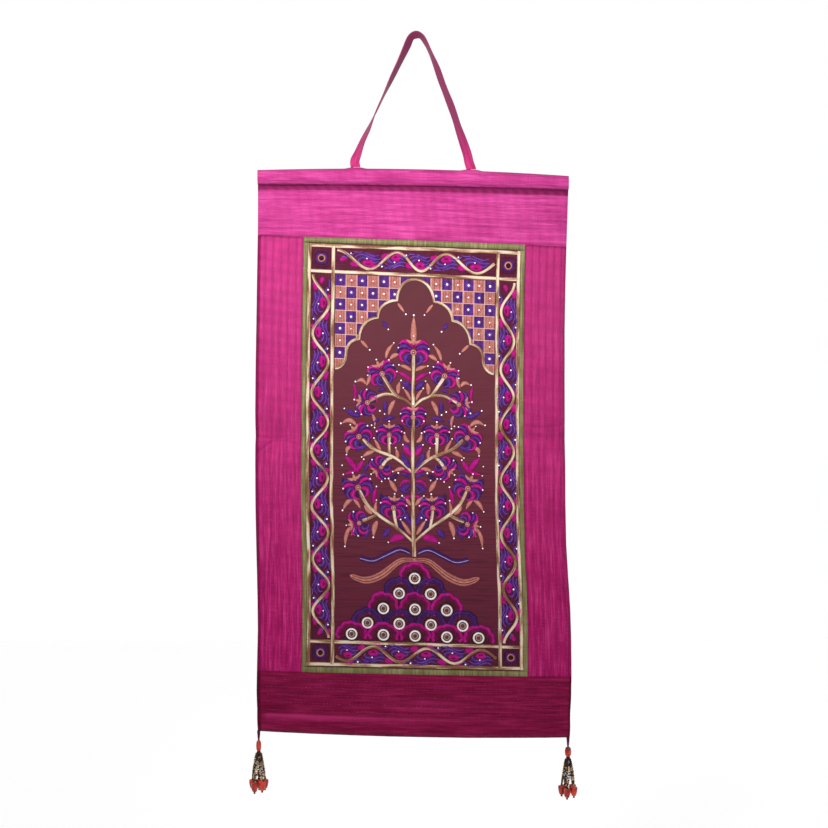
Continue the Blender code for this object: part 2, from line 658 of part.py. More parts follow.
def beaded_strand(name, points, radii, helpers):
    """One strand of seed beads: a square tube through these points, thin where it goes through its bell."""
    curve = bpy.data.curves.new(name, "CURVE")
    curve.dimensions = "3D"
    curve.bevel_depth = 1.0
    curve.bevel_resolution = 0
    curve.use_fill_caps = True
    spline = curve.splines.new("POLY")
    spline.points.add(len(points) - 1)
    for point, place, radius in zip(spline.points, points, radii):
        point.co = (*place, 1.0)
        point.radius = radius
    drawn = bpy.data.objects.new(name + "_line", curve)
    helpers.objects.link(drawn)
    bpy.context.view_layer.update()
    graph = bpy.context.evaluated_depsgraph_get()
    mesh = bpy.data.meshes.new_from_object(drawn.evaluated_get(graph))
    bm = bmesh.new()
    bm.from_mesh(mesh)
    bmesh.ops.remove_doubles(bm, verts=bm.verts[:], dist=0.00001)
    bmesh.ops.recalc_face_normals(bm, faces=bm.faces[:])
    bm.to_mesh(mesh)
    bm.free()
    obj = bpy.data.objects.new(name, mesh)
    obj.matrix_world = drawn.matrix_world
    helpers.objects.link(obj)
    bpy.data.objects.remove(drawn, do_unlink=True)
    obj.hide_render = True
    obj.display_type = "WIRE"
    return obj


def bell_profile():
    """A bell bead's outline from the top of its outer side down and back up its bore, as (radius, height)."""
    return (
        (BELL_TOP_RADIUS * 0.62, BELL_HEIGHT),
        (BELL_TOP_RADIUS * 0.95, BELL_HEIGHT * 0.93),
        (BELL_TOP_RADIUS, BELL_HEIGHT * 0.78),
        (BELL_TOP_RADIUS * 0.86, BELL_HEIGHT * 0.50),
        (BELL_TOP_RADIUS * 0.62, BELL_HEIGHT * 0.20),
        (BELL_TOP_RADIUS * 0.42, 0.0),
        (BELL_BORE, 0.0),
        (BELL_BORE, BELL_HEIGHT),
    )


def tassel_bead_profile(radius, length):
    """A long bead's outline, from the top of its outer side down and back up its bore."""
    points = []
    for turn in steps(BEAD_END_TURN, math.pi - BEAD_END_TURN, 6):
        points.append((BEAD_BORE + (radius - BEAD_BORE) * math.sin(turn), length / 2 * (1 + math.cos(turn))))
    return [*points, (BEAD_BORE, points[-1][1]), (BEAD_BORE, points[0][1])]


def make_tassel(row, parts, helpers):
    """A tassel: its thread and knot with five strands fused to it, the long bead, and five bell beads."""
    name, across, first_angle, bead_radius, bead_length = row
    corner = hang((across, SLEEVE_MIDDLE, SLEEVE_BOTTOM))
    top = corner.z - SEAM_GAP
    centre = Vector((corner.x, corner.y, 0.0))
    bead_top = top - HANGER_LENGTH
    bead_low = bead_top - bead_length
    knot_middle = bead_low - KNOT_RADIUS * 0.75
    thread = [centre + Vector((0, 0, z)) for z in (top, bead_top, bead_low, knot_middle)]
    tassel = beaded_strand(f"tassel_{name}", thread, [HANGER_RADIUS] * 4, parts)
    tassel.hide_render = False
    tassel.display_type = "TEXTURED"
    tassel.data.materials.append(material("seed beads"))
    knot_bm = bmesh.new()
    bmesh.ops.create_uvsphere(knot_bm, u_segments=10, v_segments=6, radius=KNOT_RADIUS)
    bmesh.ops.scale(knot_bm, verts=knot_bm.verts[:], vec=(1.0, 1.0, 0.72))
    bmesh.ops.translate(knot_bm, verts=knot_bm.verts[:], vec=centre + Vector((0, 0, knot_middle)))
    knot = add_object(f"knot_{name}", knot_bm, "seed beads", helpers)
    joined = [knot]
    for number, extra in enumerate(STRAND_EXTRAS):
        angle = math.radians(first_angle + number * 72)
        out = Vector((math.cos(angle), math.sin(angle), 0.0))
        length = STRAND_LENGTH + extra
        low = knot_middle - length
        bell_low = low - BELL_HEIGHT
        axis = centre + out * STRAND_SPREAD
        points = []
        for spread, drop in STRAND_COURSE:
            points.append(centre + out * STRAND_SPREAD * spread + Vector((0, 0, knot_middle - length * drop)))
        radii = [STRAND_RADIUS] * len(points)
        stop = bell_low - SEAM_GAP - STOP_TAPER / 2
        for z, radius in (
            (low - SEAM_GAP, THREAD_RADIUS),
            (stop, THREAD_RADIUS),
            (stop - STOP_TAPER / 2, STOP_RADIUS),
            (stop - STOP_TAPER / 2 - STOP_HEIGHT, STOP_RADIUS),
            (stop - STOP_TAPER - STOP_HEIGHT, THREAD_RADIUS),
        ):
            points.append(Vector((axis.x, axis.y, z)))
            radii.append(radius)
        joined.append(beaded_strand(f"strand_{name}_{number}", points, radii, helpers))
        place = Vector((axis.x, axis.y, bell_low))
        turned(f"bell_{name}_{number + 1}", bell_profile(), place, "coral bead", parts)
    for piece in joined:
        piece.hide_render = True
        piece.display_type = "WIRE"
        union = tassel.modifiers.new(piece.name, "BOOLEAN")
        union.operation = "UNION"
        union.object = piece
    profile = tassel_bead_profile(bead_radius, bead_length - 2 * BEAD_PLAY)
    place = centre + Vector((0, 0, bead_low + BEAD_PLAY))
    turned(f"tassel_bead_{name}", profile, place, "coral bead", parts)


def main():
    clear_scene()
    parts = bpy.data.collections.new("embroidered_wall_hanging")
    helpers = bpy.data.collections.new("helpers")
    for collection in (parts, helpers):
        bpy.context.scene.collection.children.link(collection)
    make_cloth(parts)
    make_braid_frame(parts)
    make_vines(parts)
    make_arch(parts)
    make_tree(parts, helpers)
    make_mirrors(parts)
    make_strap(parts)
    for row in TASSEL_ROWS:
        make_tassel(row, parts, helpers)


main()
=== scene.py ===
import math
import random

import bmesh
import bpy
import numpy as np
from mathutils import Matrix, Vector


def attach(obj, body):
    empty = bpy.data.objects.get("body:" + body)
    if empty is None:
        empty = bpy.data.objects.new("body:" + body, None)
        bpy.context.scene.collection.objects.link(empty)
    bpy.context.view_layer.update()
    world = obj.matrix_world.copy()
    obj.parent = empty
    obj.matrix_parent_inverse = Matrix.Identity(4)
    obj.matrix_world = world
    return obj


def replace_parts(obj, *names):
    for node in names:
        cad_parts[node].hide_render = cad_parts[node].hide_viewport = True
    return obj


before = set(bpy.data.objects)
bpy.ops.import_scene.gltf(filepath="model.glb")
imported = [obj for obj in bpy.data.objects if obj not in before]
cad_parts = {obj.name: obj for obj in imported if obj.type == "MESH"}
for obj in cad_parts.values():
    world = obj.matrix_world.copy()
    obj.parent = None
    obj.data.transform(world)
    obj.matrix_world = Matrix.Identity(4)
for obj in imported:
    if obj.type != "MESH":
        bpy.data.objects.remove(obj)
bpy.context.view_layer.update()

print("frame loaded:", len(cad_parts), "nodes")

# The cloth's hung shape. Everything on it is laid out flat as (across, depth, height) and then hung.
# Tables of whole numbers are in tenths of a millimetre.
cloth = {
    "halfWidth": 0.2285, "kickStart": 0.166, "rowStep": 0.001, "smoothRows": 13, "strapFeet": (-0.0865, 0.0838),
    "strapPull": 0.0018, "sleeveTop": -0.2014, "topCrease": -0.2225, "topSeam": -0.3016, "bottomSeam": -0.9379,
    "bottomCrease": -0.9996, "sleeveBottom": -1.0264, "seamGap": 0.0003,
    # flat height, depth of the front, left edge, right edge, kick of the right edge, drop to the right, bow,
    # and the middle's slip to the right
    "rows": (
        (-2014, 30, -2337, 2237, 0, 88, 58, 20), (-2225, 30, -2335, 2236, 0, 78, 20, 22),
        (-2350, 8, -2332, 2228, 0, 94, 16, 24), (-2600, -12, -2330, 2218, 2, 124, 13, 28),
        (-3016, -24, -2332, 2203, 4, 163, 10, 34), (-3500, -34, -2340, 2188, 2, 196, 4, 35),
        (-4200, -40, -2350, 2177, 6, 198, 0, 37), (-4800, -43, -2360, 2176, 4, 196, 0, 37),
        (-5150, -43, -2364, 2176, 2, 130, 0, 37), (-5550, -46, -2368, 2177, -6, 74, 0, 36),
        (-5760, -34, -2366, 2177, 0, 60, 0, 34), (-5900, -14, -2362, 2178, 8, 52, 0, 32),
        (-6050, -30, -2367, 2181, 2, 48, 0, 30), (-6300, -45, -2368, 2184, -6, 46, 0, 28),
        (-6900, -46, -2365, 2187, -10, 44, 0, 29), (-7450, -44, -2355, 2199, -14, 64, 0, 28),
        (-7900, -40, -2345, 2228, 4, 100, 0, 22), (-8350, -26, -2336, 2262, 32, 136, 0, 6),
        (-8800, -10, -2333, 2278, 40, 158, -6, -2), (-9379, 10, -2348, 2283, 34, 94, -10, -4),
        (-9700, 24, -2354, 2277, 16, 90, -22, -2), (-9940, 30, -2345, 2262, 0, 90, -32, 0),
        (-10264, 30, -2330, 2250, 0, 95, -42, 0),
    ),
    # packing creases and pulls: height over the cloth (troughs are positive), width, then its points
    "creases": (
        (11, 22, ((-2220, -6120), (-2030, -5976), (-1860, -5985), (-1660, -6030))),
        (-8, 35, ((-2285, -5870), (-1950, -5890), (-1660, -5900))),
        (7, 20, ((-2285, -5925), (-2050, -5935), (-1900, -5930))),
        (6, 22, ((-1500, -6020), (-600, -6045), (550, -6040), (1520, -6010))),
        (9, 22, ((1660, -5710), (1920, -5740), (2285, -5690))),
        (-7, 30, ((1680, -5790), (2000, -5830), (2285, -5790))),
        (-16, 70, ((1720, -7480), (1960, -7720), (2285, -8100))),
        (12, 50, ((1780, -7640), (2030, -7900), (2285, -8240))),
        (10, 22, ((1660, -8610), (1840, -8620), (1960, -8590))), (8, 22, ((2080, -8800), (2285, -8790))),
    ),
}
millimetre = 0.001


def metres(tenths):
    return np.array(tenths) / 10000


def hump(distance, width, power=2):
    return np.exp(-((distance / width) ** power))


def rowCurves():
    table = metres(cloth["rows"])[::-1]
    heights = np.arange(table[0, 0], table[-1, 0] + cloth["rowStep"], cloth["rowStep"])
    window = np.hanning(cloth["smoothRows"] + 2)[1:-1]
    window /= window.sum()
    half = len(window) // 2
    curves = []
    for column in range(1, table.shape[1]):
        line = np.interp(heights, table[:, 0], table[:, column])
        curves.append(np.convolve(np.pad(line, half, mode="edge"), window, mode="valid"))
    return heights, curves


rowHeights, rowLines = rowCurves()
rippleDraw = random.Random(4)
ripples = [
    (rippleDraw.uniform(60, 230), rippleDraw.uniform(0, math.pi), rippleDraw.uniform(0, 6.28), 0.00011)
    for _ in range(14)
]


def smoothStep(value):
    share = np.clip(value, 0.0, 1.0)
    return share * share * (3 - 2 * share)


def awayFromLine(across, height, points):
    # the distance from each place to a line of points
    nearest = np.full(across.shape, 9.0)
    for (x0, z0), (x1, z1) in zip(points, points[1:]):
        run, rise = x1 - x0, z1 - z0
        share = ((across - x0) * run + (height - z0) * rise) / (run * run + rise * rise)
        share = np.clip(share, 0.0, 1.0)
        nearest = np.minimum(nearest, np.hypot(across - x0 - run * share, height - z0 - rise * share))
    return nearest


def softFolds(across, height):
    # what the hand sees as unevenness: slow waves, small ripples and the packing creases
    calm = smoothStep((-0.232 - height) / 0.06) * smoothStep((height + 0.992) / 0.05)
    added = 0.0007 * np.sin(across * 31 + 1.2 + height * 2.0) * np.sin(height * 9 + 0.6)
    for pitch, turn, phase, size in ripples:
        added = added + size * np.sin(pitch * (across * math.cos(turn) + height * math.sin(turn)) + phase)
    for size, width, points in cloth["creases"]:
        added = added + size / 10000 * hump(awayFromLine(across, height, metres(points)), width / 10000)
    return added * calm


def hangPoints(flat):
    across, depth, height = flat[:, 0], flat[:, 1], flat[:, 2]
    front, left, right, kick, drop, bow, slip = (np.interp(height, rowHeights, line) for line in rowLines)
    share = across / cloth["halfWidth"]
    kicked = np.clip((across - cloth["kickStart"]) / (cloth["halfWidth"] - cloth["kickStart"]), 0.0, None)
    z = height - drop * share / 2 + bow * (1 - share**2)
    away = np.min([np.abs(across - foot) for foot in cloth["strapFeet"]], axis=0)
    pull = cloth["strapPull"] * (1 - smoothStep((away - 0.006) / 0.012))
    span = cloth["sleeveTop"] - cloth["topCrease"]
    z = z + pull * np.clip((height - cloth["topCrease"]) / span, 0.0, 1.0)
    x = left + (right - left) * (share + 1) / 2 + slip * (1 - share**4)
    y = front + kick * kicked + softFolds(across, height) + depth
    return np.column_stack((x, y, z))


# Materials

def hexColour(text):
    parts = [int(text[i:i + 2], 16) / 255 for i in (1, 3, 5)]
    linear = [c / 12.92 if c <= 0.04045 else ((c + 0.055) / 1.055) ** 2.4 for c in parts]
    return (*linear, 1.0)


def addNode(tree, kind, values=None, links=None, **settings):
    made = tree.nodes.new(kind)
    for name, value in settings.items():
        setattr(made, name, value)
    for socket, value in (values or {}).items():
        made.inputs[socket].default_value = value
    for socket, source in (links or {}).items():
        tree.links.new(source, made.inputs[socket])
    return made


def newMaterial(name, **values):
    made = bpy.data.materials.new(name)
    made.use_nodes = True
    shader = made.node_tree.nodes["Principled BSDF"]
    for socket, value in values.items():
        shader.inputs[socket.replace("_", " ")].default_value = value
    return made, made.node_tree, shader


def ramp(tree, source, *stops):
    made = addNode(tree, "ShaderNodeValToRGB", links={"Fac": source})
    line = made.color_ramp
    while len(line.elements) < len(stops):
        line.elements.new(0.5)
    for element, (place, colour) in zip(line.elements, stops):
        element.position = place
        element.color = hexColour(colour)
    return made.outputs["Color"]


def uvOf(tree, layer):
    return addNode(tree, "ShaderNodeUVMap", uv_map=layer).outputs["UV"]


def attribute(tree, name):
    return addNode(tree, "ShaderNodeAttribute", attribute_name=name).outputs["Fac"]


def streaks(tree, source, along, over, detail=2.0):
    # noise drawn out into threads: about so many millimetres long and so many wide
    place = addNode(tree, "ShaderNodeMapping", {"Scale": (1000 / along, 1000 / over, 1)}, {"Vector": source})
    noise = addNode(tree, "ShaderNodeTexNoise", {"Scale": 1.0, "Detail": detail, "Roughness": 0.55},
                    {"Vector": place.outputs["Vector"]}, noise_dimensions="2D")
    return noise.outputs["Fac"]


def patches(tree, scale, source=None):
    if source is None:
        source = addNode(tree, "ShaderNodeTexCoord").outputs["Object"]
    return addNode(tree, "ShaderNodeTexNoise", {"Scale": scale, "Detail": 3.0}, {"Vector": source}).outputs["Fac"]


def bands(tree, source, direction, **values):
    values = {name.replace("_", " "): value for name, value in values.items()}
    return addNode(tree, "ShaderNodeTexWave", values, {"Vector": source}, bands_direction=direction).outputs["Fac"]


def product(tree, first, second):
    # the second is a number or another node's output
    fromNode = isinstance(second, bpy.types.NodeSocket)
    values, links = ({}, {0: first, 1: second}) if fromNode else ({1: second}, {0: first})
    return addNode(tree, "ShaderNodeMath", values, links, operation="MULTIPLY").outputs[0]


def mixed(tree, first, second, share):
    links = {0: product(tree, first, 1 - share), 1: product(tree, second, share)}
    return addNode(tree, "ShaderNodeMath", links=links, operation="ADD").outputs[0]


def blended(tree, share, first, second):
    made = addNode(tree, "ShaderNodeMix", {7: hexColour(second)}, {0: share, 6: first}, data_type="RGBA")
    return made.outputs[2]


def ranged(tree, value, low, high, most=1.0):
    return addNode(tree, "ShaderNodeMapRange", {"From Min": low, "From Max": high, "To Max": most},
                   {"Value": value}).outputs[0]


def heightOf(tree, flat):
    return addNode(tree, "ShaderNodeSeparateXYZ", links={"Vector": flat}).outputs["Y"]


def coat(tree, shader, colour, relief=None, strength=0.4, depth=0.0006):
    tree.links.new(colour, shader.inputs["Base Color"])
    if relief is not None:
        bump = addNode(tree, "ShaderNodeBump", {"Strength": strength, "Distance": depth}, {"Height": relief})
        tree.links.new(bump.outputs["Normal"], shader.inputs["Normal"])


def slubSilk(name, hue, tones, deep, paintedHighlight, threadsAcross=True, paintedLightTop=None):
    # dupion silk, hand woven: uneven slubs run along the weft, with a fine crossed weave and a sheen in its own hue.
    # the real threads are 0.3 mm apart and are drawn about 1 mm wide, so that they show
    made, tree, shader = newMaterial(name, Roughness=0.5, Specular_IOR_Level=0.4, Specular_Tint=hexColour(hue),
                                     Sheen_Weight=0.05, Sheen_Roughness=0.4, Sheen_Tint=hexColour(hue))
    flat = uvOf(tree, "flat")

    def drawn(long, thin, detail):
        return streaks(tree, flat, *((long, thin) if threadsAcross else (thin, long)), detail)

    weave = mixed(tree, drawn(30.0, 1.0, 3.0), drawn(0.9, 22.0, 2.0), 0.3)
    weave = mixed(tree, weave, drawn(60.0, 3.6, 2.0), 0.45)
    tone = mixed(tree, weave, streaks(tree, flat, 60.0, 45.0, 4.0), 0.18)
    colour = ramp(tree, tone, *zip((0.37, 0.5, 0.63), tones))
    if paintedLightTop:
        # painted light: paler towards its upper end, where the lamp falls brighter and the silk's sheen shows
        colour = blended(tree, ranged(tree, heightOf(tree, flat), -0.85, -0.36, 0.7), colour, paintedLightTop)
    # the furrow attribute holds painted light and shade: above nothing the cloth is mixed towards its painted shade
    # colour (deep), below nothing towards its painted highlight colour
    sewn = attribute(tree, "furrow")
    colour = blended(tree, product(tree, sewn, -1.0), blended(tree, sewn, colour, deep), paintedHighlight)
    coat(tree, shader, colour, weave)
    return made


def groundCotton():
    # plain cotton ground, faintly ribbed and matt, browner at the top and redder low down
    made, tree, shader = newMaterial("groundCotton", Roughness=0.85, Specular_IOR_Level=0.08)
    flat = uvOf(tree, "flat")
    height = heightOf(tree, flat)
    ribs = streaks(tree, flat, 30.0, 1.2, 3.0)
    tone = mixed(tree, ribs, streaks(tree, flat, 50.0, 24.0, 4.0), 0.5)
    tone = mixed(tree, tone, ranged(tree, height, -0.93, -0.36), 0.62)
    colour = ramp(tree, tone, (0.16, "#4a1627"), (0.5, "#50202c"), (0.84, "#4a252a"))
    # darker slubs run across its lower half
    slubs = ranged(tree, streaks(tree, flat, 60.0, 2.4, 2.0), 0.5, 0.72, 0.6)
    slubs = product(tree, slubs, ranged(tree, height, -0.46, -0.70))
    coat(tree, shader, blended(tree, slubs, colour, "#30101b"), ribs, 0.3, 0.0004)
    return made


def floss(name, hue, tones, deep="#12060f", pitch=1.5):
    # untwisted rayon floss laid side by side: each strand is painted with a soft highlight along the shape, and where
    # the shape's edges turn down they get painted shade, mixed towards the deep colour by the edge attribute
    made, tree, shader = newMaterial(name, Roughness=0.4, Specular_IOR_Level=0.5, Specular_Tint=hexColour(hue))
    place = addNode(tree, "ShaderNodeMapping", {"Scale": (60, 1000 / pitch, 1)}, {"Vector": uvOf(tree, "thread")})
    strands = bands(tree, place.outputs["Vector"], "Y", Scale=0.32, Distortion=1.2, Detail=2.0, Detail_Scale=1.2)
    colour = ramp(tree, mixed(tree, strands, patches(tree, 170.0), 0.55), *zip((0.24, 0.5, 0.76), tones))
    coat(tree, shader, blended(tree, attribute(tree, "edge"), colour, deep), strands, 0.7, 0.0005)
    return made


def zari():
    # metal-wrapped thread plied into a flat braid: painted sheen turns it from cream to brown along its length, and
    # painted shade darkens its edges
    made, tree, shader = newMaterial("zariBraid", Roughness=0.45, Specular_IOR_Level=0.4,
                                     Specular_Tint=hexColour("#e8d8b0"))
    lay = uvOf(tree, "thread")
    plies = addNode(tree, "ShaderNodeMapping", {"Scale": (620, 900, 1), "Rotation": (0, 0, 0.7)}, {"Vector": lay})
    twist = bands(tree, plies.outputs["Vector"], "X", Scale=0.5, Distortion=0.8, Detail=1.0)
    tone = mixed(tree, streaks(tree, lay, 42.0, 5.5, 1.0), streaks(tree, lay, 5.0, 0.9, 2.0), 0.2)
    colour = ramp(tree, mixed(tree, tone, twist, 0.1), (0.38, "#683f2e"), (0.45, "#88644c"), (0.51, "#ab8f76"),
                  (0.59, "#c1b09b"))
    coat(tree, shader, blended(tree, attribute(tree, "edge"), colour, "#2b130f"), twist, 0.4, 0.0003)
    return made


def shishaGlass():
    # hand-blown mirror glass, smoky and uneven; its red core and pale ring are a painted reflection of the room's
    # light
    made, tree, shader = newMaterial("shishaGlass", Metallic=0.3, Roughness=0.25)
    lay = uvOf(tree, "thread")
    out = addNode(tree, "ShaderNodeVectorMath", links={0: lay}, operation="LENGTH").outputs["Value"]
    coat(tree, shader, ramp(tree, mixed(tree, out, patches(tree, 2.6, lay), 0.3), (0.28, "#560b15"), (0.38, "#2a1214"),
                            (0.5, "#3d2223"), (0.58, "#84665c"), (0.72, "#8b6d61"), (0.8, "#2e1619")))
    return made


def glassBead(name, dark, light, roughness, scale=160.0, shine=0.5):
    # pressed glass, polished, its colour a little streaked
    made, tree, shader = newMaterial(name, Roughness=roughness, Specular_IOR_Level=shine)
    coat(tree, shader, ramp(tree, patches(tree, scale), (0.36, dark), (0.64, light)))
    return made


finish = {
    # each silk's colour after its tones is its painted shade and the next its painted highlight; the magenta silk's
    # last is its painted lighter top
    "rose": slubSilk("roseSilk", "#ff5ab4", ("#792152", "#8e2b63", "#a03d76"), "#520f31", "#b0528a"),
    "magentaSilk": slubSilk("magentaSilk", "#ff3c9c", ("#6e0e3d", "#8b1550", "#a33066"), "#500a2d", "#aa3e72", False,
                            "#8c2c5e"),
    "plum": slubSilk("plumSilk", "#ff3c8c", ("#480821", "#600d2d", "#771940"), "#320616", "#cc3a80"),
    "strap": slubSilk("strapSilk", "#ff5aa8", ("#741a44", "#86204f", "#98305e"), "#642843", "#c05c96", False),
    "green": slubSilk("greenSilk", "#c8d89a", ("#494427", "#5c5738", "#787250"), "#2f2e18", "#969468", False),
    "ground": groundCotton(),
    "magenta": floss("magentaFloss", "#ff4cc8", ("#620640", "#8a0a5e", "#aa1a7a")),
    "purple": floss("purpleFloss", "#9468d8", ("#200b36", "#391655", "#582f88")),
    "dusk": floss("duskFloss", "#8060a8", ("#1c0a28", "#2c103c", "#401b58")),
    "wine": floss("wineFloss", "#c44c8c", ("#36071c", "#4e0b2b", "#67113b")),
    "bed": floss("bedAndShadeFloss", "#a05a6c", ("#2a0a15", "#3a1020", "#4e1a30"), pitch=2.2),
    "coral": floss("coralFloss", "#ffb4a0", ("#763c39", "#9c5e56", "#ba7d72"), "#2a0f12"),
    "wineCoral": floss("shadedCoralFloss", "#ff9c8c", ("#4c2022", "#5f2c2c", "#743c38")),
    "cream": floss("creamFloss", "#ffc8c0", ("#98706a", "#ba928c", "#d2aca4"), "#6a403a"),
    "lilac": floss("lilacFloss", "#b890e8", ("#44225a", "#62367a", "#7e5096")),
    "blush": floss("blushFloss", "#ff6cd0", ("#901068", "#ac207c", "#c23c92")),
    "mauve": floss("mauveFloss", "#c8b4ff", ("#625080", "#8470a0", "#a490bc")),
    "white": floss("whiteThread", "#ffffff", ("#b0a2a2", "#d4c8c8", "#e8e0e0"), "#503840"),
    "brown": floss("brownThread", "#a08080", ("#180a0e", "#241116", "#382022")),
    "zari": zari(),
    "mirror": shishaGlass(),
    "pearl": glassBead("pearlSeed", "#cfc6d0", "#fbf6fb", 0.25),
    "stitch": floss("runningThread", "#ff64b4", ("#7a1a4c", "#8f2a60", "#a84478"), "#5c1438"),
    "roseStitch": floss("roseThread", "#ff64b4", ("#8c2462", "#a03272", "#b65088"), "#7c1c54"),
    "plumStitch": floss("plumThread", "#ff64a0", ("#6a1e42", "#7a2c50", "#8e4064"), "#5c1638"),
    "cord": floss("cordThread", "#c85a8c", ("#260819", "#3c0f27", "#541a38")),
    "coralBead": glassBead("coralBead", "#6a0e08", "#c4361f", 0.14, 120.0, 0.35),
    "darkBead": glassBead("darkSeed", "#1a0b07", "#3c2014", 0.3, 160.0, 0.2),
    "creamBead": glassBead("goldSeed", "#765632", "#bfa078", 0.25, 160.0, 0.4),
}
print("finishes made:", len(finish))


# Mesh helpers

def linked(mesh, material):
    made = bpy.data.objects.new(mesh.name, mesh)
    bpy.context.scene.collection.objects.link(made)
    mesh.materials.append(finish[material])
    mesh.shade_smooth()
    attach(made, "root")
    return made


def vertexUv(mesh, layerName, values):
    corners = np.empty(len(mesh.loops), dtype=np.int32)
    mesh.loops.foreach_get("vertex_index", corners)
    layer = mesh.uv_layers.get(layerName) or mesh.uv_layers.new(name=layerName)
    layer.uv.foreach_set("vector", values[corners].astype(np.float32).ravel())


def uprightGrid(name, wide, tall):
    bm = bmesh.new()
    bmesh.ops.create_grid(bm, x_segments=wide - 1, y_segments=tall - 1, size=1.0,
                          matrix=Matrix.Rotation(math.radians(90), 4, "X"))
    mesh = bpy.data.meshes.new(name)
    bm.to_mesh(mesh)
    bm.free()
    return mesh


def setPlaces(mesh, places):
    mesh.vertices.foreach_set("co", places.astype(np.float32).ravel())
    mesh.update()


def span(low, high, step):
    return np.linspace(low, high, max(2, round(abs(high - low) / step) + 1))


def lengthAlong(points):
    return np.concatenate(([0.0], np.cumsum(np.hypot(*np.diff(points, axis=0).T))))


def thicken(piece, thickness, offset):
    shell = piece.modifiers.new("thickness", "SOLIDIFY")
    shell.thickness = thickness
    shell.offset = offset


# Cloth

quilt = {"pitch": 0.0112, "groove": 0.0006, "width": 0.0016, "stitch": 0.0052, "pucker": 0.00022, "hem": 0.0055}


def furrows(value, start):
    # how near each place is to a line of stitches, from 0 to 1
    line = np.round((value - start) / quilt["pitch"]) * quilt["pitch"] + start
    return line, hump(value - line, quilt["width"])


def grooves(value, start, other):
    # the quilting: a soft furrow at each line of stitches, pinched where each stitch goes down
    line, furrow = furrows(value, start)
    pinch = 0.75 + 0.25 * np.cos(2 * math.pi * other / quilt["stitch"] + line * 900)
    swell = quilt["pucker"] * np.sin(other * 410 + line * 2300) * (1 - furrow)
    return quilt["groove"] * furrow * pinch + swell


def keepValues(mesh, name, values):
    mesh.attributes.new(name, "FLOAT", "POINT").data.foreach_set("value", values.astype(np.float32))


def turnedEdge(distance):
    # the edge of a sewn piece rolls back where it is turned under
    return 0.0010 * hump(distance, 0.0016)


def flatSheet(name, left, right, low, high, step, material, under, relief=None, shade=None):
    # "under" is how far the sheet goes on under its neighbours: left, right, low and high
    columns, rows = span(left - under[0], right + under[1], step), span(low - under[2], high + under[3], step)
    mesh = uprightGrid(name, len(columns), len(rows))
    across = np.tile(columns, len(rows))
    height = np.repeat(rows, len(columns))
    edge = np.minimum(np.minimum(across - left, right - across), np.minimum(height - low, high - height))
    depth = turnedEdge(np.maximum(edge, 0.0)) + np.clip(-edge, 0.0, 0.0012)
    if relief:
        depth = depth + relief(across, height) * (edge > 0)
    setPlaces(mesh, hangPoints(np.column_stack((across, depth, height))))
    vertexUv(mesh, "flat", np.column_stack((across, height)))
    keepValues(mesh, "furrow", shade(across, height) if shade else 0 * across)
    piece = linked(mesh, material)
    thicken(piece, 0.0012, -1.0)
    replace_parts(piece, name)
    return piece


panel = {"shift": 0.001, "halfWidth": 0.1563, "border": 0.0078}
gap = cloth["seamGap"]
innerEdge = panel["halfWidth"] + gap
outerEdge = innerEdge + panel["border"]
leftEdge = panel["shift"] - outerEdge
rightEdge = panel["shift"] + outerEdge
sideTop, sideLow = cloth["topSeam"] - gap, cloth["bottomSeam"] + gap
panelTop, panelLow = sideTop - panel["border"] - gap, sideLow + panel["border"] + gap

tucked = 0.003
for name, left, right, hemSide, under in (
    ("left_band", -cloth["halfWidth"], leftEdge - gap, -1, (0.0, tucked, tucked, tucked)),
    ("right_band", rightEdge + gap, cloth["halfWidth"], 1, (tucked, 0.0, tucked, tucked)),
):
    def bandRelief(across, height, start=left, side=hemSide):
        hemLine = side * (cloth["halfWidth"] - quilt["hem"])
        return grooves(across, start, height) + 0.0007 * hump(across - hemLine, 0.0009)

    def bandShade(across, height, start=left, side=hemSide):
        # painted shade along the quilting lines and under the top band's seam; the hem strip is darker, and the right
        # band a little darker overall
        hem = smoothStep((side * across - cloth["halfWidth"] + quilt["hem"]) / 0.0008)
        sewn = np.maximum(0.3 * furrows(across, start)[1], hem * (0.85 if side < 0 else 0.3))
        return sewn + 0.5 * hump(height - sideTop, 0.003) + (0.14 if side > 0 else 0.0)

    band = flatSheet(name, left, right, sideLow, sideTop, 0.0018, "magentaSilk", under, bandRelief,
                     bandShade)

width = panel["border"]
for name, left, right, low, high, under in (
    ("border_top", leftEdge, rightEdge, sideTop - width, sideTop, (0.0, 0.0, 0.0, tucked)),
    ("border_bottom", leftEdge, rightEdge, sideLow, sideLow + width, (0.0, 0.0, tucked, 0.0)),
    ("border_left", leftEdge, leftEdge + width, panelLow, panelTop, (0.0, 0.0, tucked, tucked)),
    ("border_right", rightEdge - width, rightEdge, panelLow, panelTop, (0.0, 0.0, tucked, tucked)),
):
    strip = flatSheet(name, left, right, low, high, 0.0013, "green", under)

ground = flatSheet("embroidered_panel", panel["shift"] - panel["halfWidth"], panel["shift"] + panel["halfWidth"],
                   panelLow, panelTop, 0.0026, "ground", (tucked,) * 4)
print("flat sheets hung")

sleeve = {
    "halfDepth": 0.0065, "middle": -0.0030, "back": 0.0035, "sheet": 0.0020, "step": 0.0014, "column": 0.0021,
    # each band: which way its sleeve lies from its seam, seam, crease, the sleeve's end and its roll's half height,
    # where the front ends short of the crease, the roll's first angle, the rows of its back, and the fold's points
    # by depth and height past the crease
    "top_band": (1, cloth["topSeam"], cloth["topCrease"], cloth["sleeveTop"], 0.0106, 0.001, -70, 22,
                 ((0.0002, 0.0004), (-0.0006, 0.0012), (-0.0020, 0.0010))),
    "bottom_band": (-1, cloth["bottomSeam"], cloth["bottomCrease"], cloth["sleeveBottom"], 0.0120, 0.006, -30, 18,
                    ((-0.0004, -0.0040), (-0.0018, -0.0016), (-0.0040, 0.0010))),
}


